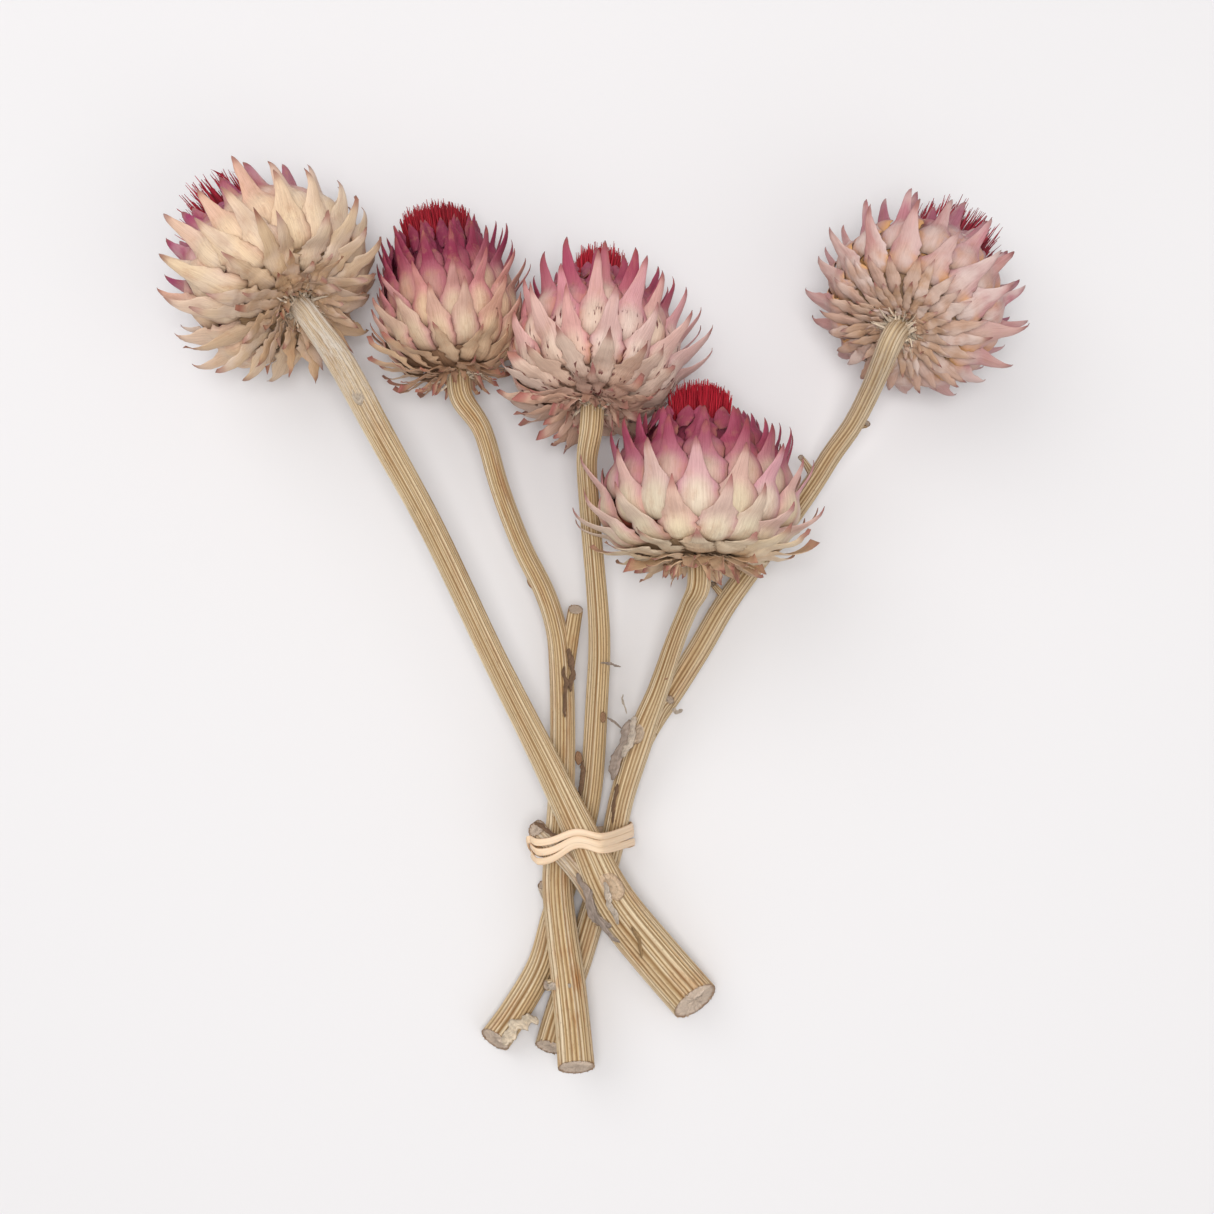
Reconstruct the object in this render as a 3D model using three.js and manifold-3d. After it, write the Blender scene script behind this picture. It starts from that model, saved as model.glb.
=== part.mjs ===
// A bunch of five dried artichoke flowers on four cut stems, one of them forked, tied with a
// rubber band and lying on a table. Millimetres, +Z up, +Y from the cut ends towards the flowers.
// The origin is at the middle of the bunch, on the table.
import * as THREE from "three";
import { mergeVertices } from "three/addons/utils/BufferGeometryUtils.js";
import Module from "manifold-3d";

const wasm = await Module();
wasm.setup();

// ---------------------------------------------------------------- driving dimensions
const GAP = 0.4; // air left between two pieces that touch
const SEAT = 10; // how high the spines hold a cup off the table
const BRACT_THICKNESS = 1.6; // at its middle
const BRACT_EDGE = 0.8; // and along its edge
const SHORTEST_BRACT = 0.4; // in rows, where something lies against the head
const HEAD_GAP = 0.2; // air left between the spines of two heads
const LAYER_GAP = 0.6; // air left between a row of bracts and the row inside it
const LAYER = BRACT_THICKNESS + LAYER_GAP; // how much a row stands off the row inside it
const NECK_RADIUS = 7; // where the stem swells into the receptacle
const RECEPTACLE_DEPTH = 12; // from the neck to the floor that the florets stand on
const NECK_DEPTH = 5; // how far the stem runs on inside the receptacle
const NECK_RUN = 14; // how far below its head a stem already points the head's way
const TUFT_TAPER = 2; // how much narrower the tuft's top is than the cup's mouth
const TUFT_DOME = 3; // how much higher the tuft is at its middle than at its rim
const STEM_SIDES = 10;
const STEM_STEP = 17; // length of stem between two rings
const CORE_STEP = 3; // and between two of the points that tell where a stem is
const LATHE_SIDES = 14;

const BAND_WIDTH = 3.8;
const BAND_THICKNESS = 1.1;
const BAND_TURNS = 3;
const BAND_TURN_GAP = 0.6; // air left between one turn and the next
const BAND_PITCH = BAND_WIDTH + BAND_TURN_GAP; // from one turn to the next along the bunch
const BAND_STEPS = 26; // per turn
const BAND_CENTRE_Y = -117.5;
const BAND_TILT = 6; // degrees that its right side stands nearer the flowers
const BAND_CROSSING = 70; // degrees over which the last turn crosses back to the first
const BAND_RAMP = 0.12; // share of the crossing over which it climbs, and comes down again
const BAND_SLACK_SIDE = 225; // degrees round the bunch where that crossing starts: underneath

// Rows of bracts, outermost first. start is the share of the cup's length at which the row is
// attached, reach the length of its bracts counted in rows, and flare how far their spines
// stand away from the cup.
const BRACT_ROWS = [
  { start: 0.03, bracts: 10, reach: 1.9, flare: 10 },
  { start: 0.12, bracts: 12, reach: 2.1, flare: 15 },
  { start: 0.24, bracts: 13, reach: 2.5, flare: 16 },
  { start: 0.37, bracts: 13, reach: 2.6, flare: 14 },
  { start: 0.5, bracts: 13, reach: 2.7, flare: 10 },
  { start: 0.63, bracts: 11, reach: 2.5, flare: 6 },
  { start: 0.76, bracts: 9, reach: 2.1, flare: 2 },
];

// Flower heads. base is where the neck stands on the table plan, heading the way the flower
// faces on that plan and droop how far it faces down, in degrees. belly is the cup's largest
// radius under its bracts, mouth its opening's radius, height the cup's height and tuft how far
// the florets stand out of it. above lifts the head off the table.
const HEADS = [
  { name: "head_1", base: [-150, 147.5], heading: 130, droop: 35, spin: 5, above: 0,
    belly: 41, mouth: 20, height: 65, tuft: 15 },
  { name: "head_2", base: [-74.5, 118], heading: 99, droop: 5, spin: 12, above: 0,
    belly: 30, mouth: 18, height: 68, tuft: 13 },
  { name: "head_3", base: [-7, 100], heading: 87, droop: 24, spin: 0, above: 2,
    belly: 37, mouth: 15, height: 69, tuft: 10 },
  { name: "head_4", base: [45, 24], heading: 89, droop: 8, spin: 3, above: 6,
    belly: 44, mouth: 20, height: 70, tuft: 14 },
  { name: "head_5", base: [142, 135.5], heading: 56, droop: 42, spin: 9, above: 0,
    belly: 39, mouth: 18, height: 62, tuft: 14 },
];

// Stems, each a list of [x, y, z, radius] from the cut end up to the last point below its head.
const STEMS = [
  {
    name: "stem_1",
    head: "head_1",
    route: [
      [51.5, -209, 14, 12.8], [24.5, -177, 22, 12.6], [2.5, -147.5, 30, 11.8],
      [-12, -116.5, 34, 9], [-29.5, -79.5, 36.5, 7.4], [-51, -36.5, 42, 6.6],
      [-72, 8.5, 49, 6.4], [-92, 50, 56, 6.6], [-113, 88.5, 64, 6.9], [-129, 118.5, 70, 7],
    ],
    stubs: [
      [[2, -161, 28, 7], [-11.5, -138.5, 33, 5], [-25.5, -121.5, 36, 4.6], [-37.5, -109, 37, 5]],
    ],
  },
  {
    name: "stem_2",
    head: "head_2",
    route: [
      [-15, -239, 25, 9.8], [-17, -214.5, 25.5, 9.2], [-19.5, -191.5, 25.5, 8.9],
      [-23, -164, 24, 8.2], [-25, -141, 23.5, 7.9], [-24.5, -118.5, 20.5, 7.4],
      [-23, -88.5, 17.5, 6.9], [-22.5, -58, 17, 6.6], [-23.5, -29.5, 19, 6.3],
      [-26, -10.5, 21, 5.6], [-32, 8.5, 24, 5.4], [-43, 31, 29, 5.2], [-53.5, 58.5, 35, 5.1],
      [-62, 88, 40, 5.1],
    ],
    stubs: [
      [[-23, -48, 17, 4], [-18.5, -17, 20, 4.2], [-15.5, 1, 21, 4]],
      [[-19, -193, 25.5, 4], [-26, -191.5, 25, 3.4], [-32.5, -192, 25, 2.8]],
    ],
  },
  {
    name: "stem_3",
    head: "head_3",
    route: [
      [-60.5, -226.5, 9.2, 8.6], [-47.5, -208.5, 9, 8], [-34, -184.5, 8.6, 7.6],
      [-27, -158.5, 8.4, 7], [-19, -135.5, 8.6, 6.4], [-12.5, -115, 10.5, 6.2],
      [-8, -89, 13, 6.1], [-5, -47.5, 18.5, 6], [-4, -17, 24.5, 5.8], [-6, 18.5, 35, 5.3],
      [-9, 53.5, 49, 5.2], [-10, 72, 58, 5.3],
    ],
    stubs: [[[-25, -157, 8.4, 4.6], [-31, -147, 9, 3.6], [-33.5, -141, 9, 3.2]]],
  },
  {
    name: "forked_stem",
    head: "head_4",
    route: [
      [-31, -231, 8.4, 8], [-24, -207.5, 8.2, 7.7], [-15, -182, 8.2, 7.4],
      [-6.5, -153.5, 8.6, 7], [2.5, -122, 11, 6.6], [8, -96, 14, 6.6], [17.5, -65, 20, 7],
      [26, -42, 29, 5.6], [34, -16.5, 44, 5], [40.3, 0, 56, 5],
    ],
    stubs: [[[21, -66, 19, 4], [28, -52, 23, 3], [33, -46, 25, 2.6]]],
    fork: {
      head: "head_5",
      route: [
        [12, -82, 16, 5], [22, -61, 17.5, 5.6], [34, -42.5, 16, 6.2], [47.5, -21, 14.5, 6.2],
        [60, 0.5, 13, 6.1], [74.5, 20.5, 12.5, 5.9], [89, 39.5, 13.5, 5.6],
        [104, 61.5, 22, 5.4], [113, 76.5, 33, 5.3], [122.5, 91, 46, 5.2],
        [129.5, 107, 60, 5.3],
      ],
      stubs: [
        [[62, 3, 13, 3], [56.5, 9, 14, 1.8], [53.5, 12.5, 14.5, 1.8]],
        [[106, 65, 21, 2.8], [100, 74, 24, 1.6], [97.5, 76.5, 25, 1.6]],
        [[123, 92, 37, 3], [128.5, 91, 39, 1.8], [131, 92.5, 40, 1.8]],
      ],
    },
  },
];

const COLOURS = {
  stem: 0xbfa377,
  florets: 0x9c2c38,
  band: 0xe6cdaa,
  bracts: [0xb5916f, 0xbf9a78, 0xcfab88, 0xd3a993, 0xcf9c90, 0xbd7a80, 0xa5607a],
};

// ---------------------------------------------------------------- solids
const degrees = THREE.MathUtils.degToRad;
const vector = (p) => new THREE.Vector3(p[0], p[1], p[2]);

// A three.js geometry as a manifold-3d solid, with its shared vertices merged.
function solid(geometry) {
  const bare = geometry.clone().deleteAttribute("normal").deleteAttribute("uv");
  const merged = mergeVertices(bare, 1e-4);
  return new wasm.Manifold(
    new wasm.Mesh({
      numProp: 3,
      vertProperties: merged.getAttribute("position").array,
      triVerts: new Uint32Array(merged.index.array),
    }),
  );
}

function mesh(name, body, color, roughness) {
  const { numProp, numVert, vertProperties, triVerts } = body.getMesh();
  const positions = new Float32Array(numVert * 3);
  for (let i = 0; i < numVert; i++)
    positions.set(vertProperties.subarray(i * numProp, i * numProp + 3), i * 3);
  const geometry = new THREE.BufferGeometry()
    .setAttribute("position", new THREE.BufferAttribute(positions, 3))
    .setIndex(new THREE.BufferAttribute(triVerts, 1));
  geometry.computeVertexNormals();
  const material = new THREE.MeshStandardMaterial({ color, roughness, metalness: 0 });
  const made = new THREE.Mesh(geometry, material);
  made.name = name;
  return made;
}

// A closed surface through a grid of points. Rows run along the piece and the points of a row go
// round it, clockwise seen from the last row. ends closes it with two caps; without them the
// last row joins the first.
function skin(rows, ends = true) {
  const around = rows[0].length;
  const positions = rows.flat().flatMap((p) => p.toArray());
  const index = [];
  const at = (row, i) => (row % rows.length) * around + (i % around);
  const bands = ends ? rows.length - 1 : rows.length;
  for (let row = 0; row < bands; row++)
    for (let i = 0; i < around; i++) {
      index.push(at(row, i), at(row + 1, i + 1), at(row, i + 1));
      index.push(at(row, i), at(row + 1, i), at(row + 1, i + 1));
    }
  if (ends)
    for (let i = 1; i < around - 1; i++) {
      index.push(0, i, i + 1);
      index.push(at(rows.length - 1, 0), at(rows.length - 1, i + 1), at(rows.length - 1, i));
    }
  return new THREE.BufferGeometry()
    .setAttribute("position", new THREE.Float32BufferAttribute(positions, 3))
    .setIndex(index);
}

// ---------------------------------------------------------------- stems
// The centreline and radius of a route of [x, y, z, radius] points, evaluated by share of length.
function centreline(route) {
  const curve = new THREE.CatmullRomCurve3(route.map(vector), false, "catmullrom");
  const radii = route.map((p) => p[3]);
  return {
    length: curve.getLength(),
    point: (share) => curve.getPointAt(share),
    tangent: (share) => curve.getTangentAt(share),
    radius: (share) => {
      const t = curve.getUtoTmapping(share) * (radii.length - 1);
      const i = Math.min(Math.floor(t), radii.length - 2);
      return THREE.MathUtils.lerp(radii[i], radii[i + 1], t - i);
    },
  };
}

// The ring of points round a centreline at one share of its length.
function stemRing(line, share, sides) {
  const along = line.tangent(share);
  const right = new THREE.Vector3().crossVectors(along, new THREE.Vector3(0, 0, 1)).normalize();
  const up = new THREE.Vector3().crossVectors(right, along);
  const radius = line.radius(share);
  return Array.from({ length: sides }, (_, i) => {
    const angle = (2 * Math.PI * i) / sides;
    return line
      .point(share)
      .addScaledVector(right, radius * Math.cos(angle))
      .addScaledVector(up, radius * Math.sin(angle));
  });
}

function tube(route) {
  const line = centreline(route);
  const steps = Math.max(2, Math.ceil(line.length / STEM_STEP));
  const rings = Array.from({ length: steps + 1 }, (_, i) =>
    stemRing(line, i / steps, STEM_SIDES),
  );
  return solid(skin(rings));
}

// A stem's route with its end carried into its head.
function fullRoute(stem, places) {
  const { base, axis } = places[stem.head];
  const neck = [-NECK_RUN, 0, NECK_DEPTH].map((along) => {
    const point = base.clone().addScaledVector(axis, along);
    return [...point, NECK_RADIUS - 1];
  });
  return [...stem.route, ...neck];
}

// The routes of a stem: its own, its cut side shoots', and its fork's with its own shoots.
function routesOf(stem, places) {
  const own = [fullRoute(stem, places), ...stem.stubs];
  return stem.fork ? own.concat(routesOf(stem.fork, places)) : own;
}

// Points down the middle of a stem, closely spaced, each with the radius there.
function coresOf(stem, places) {
  return routesOf(stem, places).flatMap((route) => {
    const line = centreline(route);
    const shares = between(0, 1, Math.ceil(line.length / CORE_STEP));
    return shares.map((share) => ({ at: line.point(share), radius: line.radius(share) }));
  });
}

// ---------------------------------------------------------------- flower heads
// The outline of a head's cup, from the neck over the belly to the mouth and on along the tuft.
// at(length, off) is the [radius, height] at that length along it and that far off it.
function outline(head) {
  const { belly, mouth, height, tuft } = head;
  const curve = new THREE.CatmullRomCurve3(
    [
      [NECK_RADIUS, 0, 0],
      [belly * 0.55, height * 0.03, 0],
      [belly * 0.87, height * 0.13, 0],
      [belly, height * 0.31, 0],
      [belly * 0.93, height * 0.52, 0],
      [(belly + mouth) / 2, height * 0.77, 0],
      [mouth, height, 0],
      [mouth - TUFT_TAPER, height + tuft, 0],
    ].map(vector),
    false,
    "catmullrom",
  );
  const samples = curve.getPoints(210);
  const lengths = samples.map((p, i) => (i ? p.distanceTo(samples[i - 1]) : 0));
  lengths.forEach((d, i) => (lengths[i] = i ? lengths[i - 1] + d : 0));
  const top = samples.at(-1);
  return {
    cup: lengths[samples.findIndex((p) => p.y >= height)],
    end: lengths.at(-1),
    // How far a point [radius, height] is off the outline, negative inside it.
    off: (radius, up) => {
      if (up < 0) return Math.hypot(Math.max(0, radius - NECK_RADIUS), up);
      const over = Math.max(0, up - top.y - TUFT_DOME);
      if (up > top.y) return Math.hypot(Math.max(0, radius - top.x), over);
      const nearest = Math.min(...samples.map((p) => Math.hypot(radius - p.x, up - p.y)));
      return radius < samples.find((p) => p.y >= up).x ? -nearest : nearest;
    },
    at: (length, off = 0) => {
      let i = lengths.findIndex((l) => l > length);
      if (i < 1) i = i < 0 ? samples.length - 1 : 1;
      const [a, b] = [samples[i - 1], samples[i]];
      const along = b.clone().sub(a).normalize();
      const p = a.clone().addScaledVector(along, length - lengths[i - 1]);
      return [p.x + off * along.y, p.y - off * along.x];
    },
  };
}

// Where a bract of a row is, at rows past its base: along the cup, and off it.
function bractPlace(head, row, rows) {
  const starts = BRACT_ROWS.map((r) => r.start * head.line.cup);
  const last = starts.length - 1;
  const place = row + rows;
  const i = THREE.MathUtils.clamp(Math.floor(place), 0, last - 1);
  const length = starts[i] + (place - i) * (starts[i + 1] - starts[i]);
  const { flare, reach } = BRACT_ROWS[row];
  const bend = Math.max(0, (rows - 1) / (reach - 1)) ** 1.5;
  return { length, off: LAYER * rows + flare * bend };
}

// One row of bracts as a ring: each bract has a valley at either side, two shoulders and a spine.
// A part of its edge that isn't clear of what lies beside its head is shorter.
function bractRow(head, row, clear = () => true) {
  const { bracts, reach } = BRACT_ROWS[row];
  const valley = { middle: 0.6, edge: 1.2 };
  const shoulder = { middle: 0.95, edge: Math.min(1.95, reach * 0.68) };
  const spine = { middle: 1.15, edge: reach };
  const columns = [
    { turn: 0, ...spine },
    { turn: 0.23, ...shoulder },
    { turn: 0.5, ...valley },
    { turn: 0.77, ...shoulder },
  ];
  const point = (angle, rows, lift) => {
    const { length, off } = bractPlace(head, row, rows);
    const [radius, height] = head.line.at(length, off + lift);
    return new THREE.Vector3(radius * Math.cos(angle), radius * Math.sin(angle), height);
  };
  const angleOf = (place) =>
    degrees(head.spin) + (2 * Math.PI * (place + (row % 2) / 2)) / bracts;
  const sections = [];
  for (let b = 0; b < bracts; b++)
    for (const { turn, middle, edge } of columns) {
      const angle = angleOf(b + turn);
      const beside = [-0.12, 0, 0.12].map((aside) => angleOf(b + turn + aside));
      let end = SHORTEST_BRACT;
      while (end < edge && beside.every((a) => clear(point(a, Math.min(end + 0.1, edge), 0))))
        end = Math.min(end + 0.1, edge);
      const thickest = Math.min(middle, end * 0.75);
      sections.push([
        point(angle, 0, 0),
        point(angle, thickest, BRACT_THICKNESS),
        point(angle, end, BRACT_EDGE),
        point(angle, end, 0),
        point(angle, thickest, 0),
      ]);
    }
  return solid(skin(sections, false));
}

// A body turned about the head's axis, from [radius, height] points between two on the axis.
function turned(points) {
  const profile = points.map(([radius, height]) => new THREE.Vector2(radius, height));
  return solid(new THREE.LatheGeometry(profile, LATHE_SIDES).rotateX(Math.PI / 2));
}

// Lengths along the outline between two, evenly spaced.
function between(from, to, count) {
  return Array.from({ length: count }, (_, i) => from + ((to - from) * i) / (count - 1));
}

function floorLength(line) {
  return between(0, line.cup, 200).find((l) => line.at(l, -GAP)[1] >= RECEPTACLE_DEPTH);
}

// The swollen end of the stem that carries the bracts.
function receptacle(head) {
  const sides = between(0, floorLength(head.line), 5).map((l) => head.line.at(l, -GAP));
  return turned([[0, -GAP], ...sides, [0, RECEPTACLE_DEPTH]]);
}

// The packed florets, from the receptacle up to the tuft that stands out of the cup.
function florets(head) {
  const { line, height, tuft } = head;
  const sides = between(floorLength(line) + 2 * GAP, line.end, 8).map((l) => line.at(l, -GAP));
  const bottom = sides[0][1];
  return turned([[0, bottom], ...sides, [0, height + tuft + TUFT_DOME]]);
}

// ---------------------------------------------------------------- rubber band
// The ribbon wound round the stems: it follows the tightest loop round them, turn beside turn,
// and crosses back to its start over the other turns.
function rubberBand(stems) {
  const tilt = degrees(BAND_TILT);
  const across = new THREE.Vector3(Math.cos(tilt), Math.sin(tilt), 0);
  const along = new THREE.Vector3(-Math.sin(tilt), Math.cos(tilt), 0);
  const up = new THREE.Vector3(0, 0, 1);
  const centre = new THREE.Vector3(0, BAND_CENTRE_Y, 0);
  const reach = (BAND_TURNS * BAND_PITCH + BAND_WIDTH) / 2;
  const held = [];
  for (const stem of stems)
    for (const route of [stem.route, ...stem.stubs]) {
      const line = centreline(route);
      for (let share = 0; share <= 1; share += 1 / line.length)
        for (const p of stemRing(line, share, 36)) {
          const from = p.sub(centre);
          if (Math.abs(from.dot(along)) < reach) held.push([from.dot(across), from.dot(up)]);
        }
    }
  const outermost = (x, z) =>
    held.reduce((best, p) => (p[0] * x + p[1] * z > best[0] * x + best[1] * z ? p : best));
  const crossing = degrees(BAND_CROSSING);
  const whole = 2 * Math.PI * BAND_TURNS;
  const place = (turn, lift, side) => {
    const angle = degrees(BAND_SLACK_SIDE) + turn;
    const [x, z] = [Math.cos(angle), Math.sin(angle)];
    const hull = outermost(x, z);
    const back = Math.max(0, (turn - (whole - crossing)) / crossing);
    const shift = THREE.MathUtils.smoothstep(back, 0, 1);
    const raised = THREE.MathUtils.smoothstep(Math.min(back, 1 - back), 0, BAND_RAMP);
    const off = GAP + lift + raised * (BAND_THICKNESS + GAP);
    const turns = (turn / (2 * Math.PI)) * (1 - shift);
    const offset = BAND_PITCH * (turns - BAND_TURNS / 2) + side;
    return centre
      .clone()
      .addScaledVector(across, hull[0] + off * x)
      .addScaledVector(up, hull[1] + off * z)
      .addScaledVector(along, offset);
  };
  const half = BAND_WIDTH / 2;
  const sections = [];
  for (let i = 0; i < BAND_TURNS * BAND_STEPS; i++) {
    const turn = (whole * i) / (BAND_TURNS * BAND_STEPS);
    sections.push([
      place(turn, 0, -half),
      place(turn, 0, half),
      place(turn, BAND_THICKNESS, half),
      place(turn, BAND_THICKNESS, -half),
    ]);
  }
  return solid(skin(sections, false));
}

// ---------------------------------------------------------------- the bunch
// Each head is built at its neck, turned to face its way, and set down on the table.
const places = {};
for (const head of HEADS) {
  head.line = outline(head);
  const heading = degrees(head.heading);
  const droop = degrees(-head.droop);
  const axis = new THREE.Vector3(
    Math.cos(droop) * Math.cos(heading),
    Math.cos(droop) * Math.sin(heading),
    Math.sin(droop),
  );
  const turn = new THREE.Quaternion().setFromUnitVectors(new THREE.Vector3(0, 0, 1), axis);
  const turnOnly = new THREE.Matrix4().makeRotationFromQuaternion(turn);
  const lowest = florets(head).transform(turnOnly.elements).boundingBox().min[2];
  const base = new THREE.Vector3(...head.base, SEAT + head.above - lowest);
  const matrix = turnOnly.clone().setPosition(base);
  places[head.name] = { base, axis, matrix, inverse: matrix.clone().invert() };
}

// Points down the middle of every stem, for what passes beside it.
const stemCores = STEMS.flatMap((stem) => coresOf(stem, places));

// Whether a point of a head, as built, is above the table, nearer to that head's cup than to any
// other, and clear of the stems.
function isClear(head, point) {
  const placed = point.clone().applyMatrix4(places[head.name].matrix);
  const off = (other) => {
    const local = placed.clone().applyMatrix4(places[other.name].inverse);
    return other.line.off(Math.hypot(local.x, local.y), local.z);
  };
  const others = HEADS.filter((other) => other !== head);
  return (
    placed.z > 0 &&
    others.every((other) => off(other) > off(head) + 2 * BRACT_THICKNESS + HEAD_GAP) &&
    stemCores.every((core) => core.at.distanceTo(placed) > core.radius + BRACT_THICKNESS + GAP)
  );
}

const put = (head, body) => body.transform(places[head.name].matrix.elements);
const bunch = new THREE.Group();

for (const stem of STEMS) {
  const necks = [stem, stem.fork].filter(Boolean).map(({ head }) => {
    const own = HEADS.find((h) => h.name === head);
    return put(own, receptacle(own));
  });
  const body = [...routesOf(stem, places).map(tube), ...necks].reduce((a, b) => a.add(b));
  bunch.add(mesh(stem.name, body, COLOURS.stem, 0.75));
}

for (const head of HEADS) {
  const clear = (point) => isClear(head, point);
  BRACT_ROWS.forEach((_, row) => {
    const body = put(head, bractRow(head, row, clear));
    bunch.add(mesh(`${head.name}_bract_row_${row + 1}`, body, COLOURS.bracts[row], 0.7));
  });
  bunch.add(mesh(`${head.name}_florets`, put(head, florets(head)), COLOURS.florets, 0.9));
}

bunch.add(mesh("rubber_band", rubberBand(STEMS), COLOURS.band, 0.45));

const box = new THREE.Box3().setFromObject(bunch);
const centre = box.getCenter(new THREE.Vector3());
bunch.position.set(-centre.x, -centre.y, -box.min.z);

export default bunch;
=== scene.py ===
"""A bunch of five dried artichoke flowers on four cut stems, tied with a rubber band, lying on a
pale floor and seen from above. Metres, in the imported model's frame: +Y towards the flowers, +Z up.
Small lengths are worked out in millimetres and scaled when a mesh is made."""

import math

import bpy
import numpy as np
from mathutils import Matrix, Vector


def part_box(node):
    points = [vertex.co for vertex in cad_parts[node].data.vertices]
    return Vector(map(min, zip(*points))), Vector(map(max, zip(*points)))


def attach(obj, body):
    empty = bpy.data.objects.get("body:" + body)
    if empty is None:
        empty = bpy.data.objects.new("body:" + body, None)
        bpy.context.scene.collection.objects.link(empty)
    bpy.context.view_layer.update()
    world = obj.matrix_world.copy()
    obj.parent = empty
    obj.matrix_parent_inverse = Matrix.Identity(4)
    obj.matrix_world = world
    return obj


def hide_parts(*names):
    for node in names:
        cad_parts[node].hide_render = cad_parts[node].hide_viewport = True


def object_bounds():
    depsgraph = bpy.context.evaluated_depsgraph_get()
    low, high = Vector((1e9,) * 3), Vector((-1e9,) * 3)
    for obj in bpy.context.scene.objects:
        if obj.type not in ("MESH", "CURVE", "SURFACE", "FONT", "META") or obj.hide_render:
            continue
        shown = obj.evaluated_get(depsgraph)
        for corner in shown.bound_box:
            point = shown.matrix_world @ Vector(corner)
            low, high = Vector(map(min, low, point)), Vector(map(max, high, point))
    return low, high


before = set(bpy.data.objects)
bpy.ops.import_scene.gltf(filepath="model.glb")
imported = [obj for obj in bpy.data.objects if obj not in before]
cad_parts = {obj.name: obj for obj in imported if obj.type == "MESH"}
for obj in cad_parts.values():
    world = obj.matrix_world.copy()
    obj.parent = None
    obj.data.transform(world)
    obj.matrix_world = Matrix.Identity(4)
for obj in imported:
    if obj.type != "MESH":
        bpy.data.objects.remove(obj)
cad_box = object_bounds()

MM = 0.001
MARGIN = 0.25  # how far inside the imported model's box everything stays
LOWEST, HIGHEST = np.array(cad_box[0]) / MM + MARGIN, np.array(cad_box[1]) / MM - MARGIN
rng = np.random.default_rng(7)

# ---- the design, as in the CAD part
SEAT = 10  # height at which the spines hold a flower's cup off the table
LAYER = 2.2  # how much each row of bracts stands off the row inside it
GAP = 0.4
NECK_RADIUS = 7
NECK_DEPTH = 5
NECK_RUN = 14
RECEPTACLE_DEPTH = 12
TUFT_TAPER = 2
TUFT_DOME = 3
LATHE_SIDES = 14
ROW_STARTS = np.array([0.03, 0.12, 0.24, 0.37, 0.5, 0.63, 0.76])

# base is where the neck meets the cup, heading and droop turn the head, in degrees, and belly,
# mouth, height and tuft are the cup's sizes.
HEAD_KEYS = ("base", "heading", "droop", "belly", "mouth", "height", "tuft")
HEADS = {
    "head_1": ((-150, 147.5), 130, 35, 41, 20, 65, 15),
    "head_2": ((-74.5, 118), 99, 5, 30, 18, 68, 13),
    "head_3": ((-7, 100), 87, 24, 37, 15, 69, 10),
    "head_4": ((45, 24), 89, 8, 44, 20, 70, 14),
    "head_5": ((142, 135.5), 56, 42, 39, 18, 62, 14),
}
HEADS = {name: dict(zip(HEAD_KEYS, values)) for name, values in HEADS.items()}

# Stems as (x, y, z, radius) points from the cut end up, and their side shoots from the stem out.
STEM_1 = [
    (51.5, -209, 14, 12.8), (24.5, -177, 22, 12.6), (2.5, -147.5, 30, 11.8),
    (-12, -116.5, 34, 9), (-29.5, -79.5, 36.5, 7.4), (-51, -36.5, 42, 6.6),
    (-72, 8.5, 49, 6.4), (-92, 50, 56, 6.6), (-113, 88.5, 64, 6.9), (-129, 118.5, 70, 7),
]
STEM_1_SHOOT = [(2, -161, 28, 7), (-11.5, -138.5, 33, 5), (-25.5, -121.5, 36, 4.6), (-37.5, -109, 37, 5)]
STEM_2 = [
    (-15, -239, 25, 9.8), (-17, -214.5, 25.5, 9.2), (-19.5, -191.5, 25.5, 8.9),
    (-23, -164, 24, 8.2), (-25, -141, 23.5, 7.9), (-24.5, -118.5, 20.5, 7.4),
    (-23, -88.5, 17.5, 6.9), (-22.5, -58, 17, 6.6), (-23.5, -29.5, 19, 6.3),
    (-26, -10.5, 21, 5.6), (-32, 8.5, 24, 5.4), (-43, 31, 29, 5.2), (-53.5, 58.5, 35, 5.1),
    (-62, 88, 40, 5.1),
]
STEM_2_FORK = [(-23, -48, 17, 4), (-18.5, -17, 20, 4.2), (-15.5, 1, 21, 4)]
STEM_2_SHOOT = [(-19, -193, 25.5, 4), (-26, -191.5, 25, 3.4), (-32.5, -192, 25, 2.8)]
STEM_3 = [
    (-60.5, -226.5, 9.2, 8.6), (-47.5, -208.5, 9, 8), (-34, -184.5, 8.6, 7.6),
    (-27, -158.5, 8.4, 7), (-19, -135.5, 8.6, 6.4), (-12.5, -115, 10.5, 6.2),
    (-8, -89, 13, 6.1), (-5, -47.5, 18.5, 6), (-4, -17, 24.5, 5.8), (-6, 18.5, 35, 5.3),
    (-9, 53.5, 49, 5.2), (-10, 72, 58, 5.3),
]
STEM_3_SHOOT = [(-25, -157, 8.4, 4.6), (-31, -147, 9, 3.6), (-33.5, -141, 9, 3.2)]
STEM_4 = [
    (-31, -231, 8.4, 8), (-24, -207.5, 8.2, 7.7), (-15, -182, 8.2, 7.4),
    (-6.5, -153.5, 8.6, 7), (2.5, -122, 11, 6.6), (8, -96, 14, 6.6), (17.5, -65, 20, 7),
    (26, -42, 29, 5.6), (34, -16.5, 44, 5), (40.3, 0, 56, 5),
]
STEM_4_SHOOT = [(21, -66, 19, 4), (28, -52, 23, 3), (33, -46, 25, 2.6)]
STEM_5 = [
    (12, -82, 16, 5), (22, -61, 17.5, 5.6), (34, -42.5, 16, 6.2), (47.5, -21, 14.5, 6.2),
    (60, 0.5, 13, 6.1), (74.5, 20.5, 12.5, 5.9), (89, 39.5, 13.5, 5.6),
    (104, 61.5, 22, 5.4), (113, 76.5, 33, 5.3), (122.5, 91, 46, 5.2), (129.5, 107, 60, 5.3),
]
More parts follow.
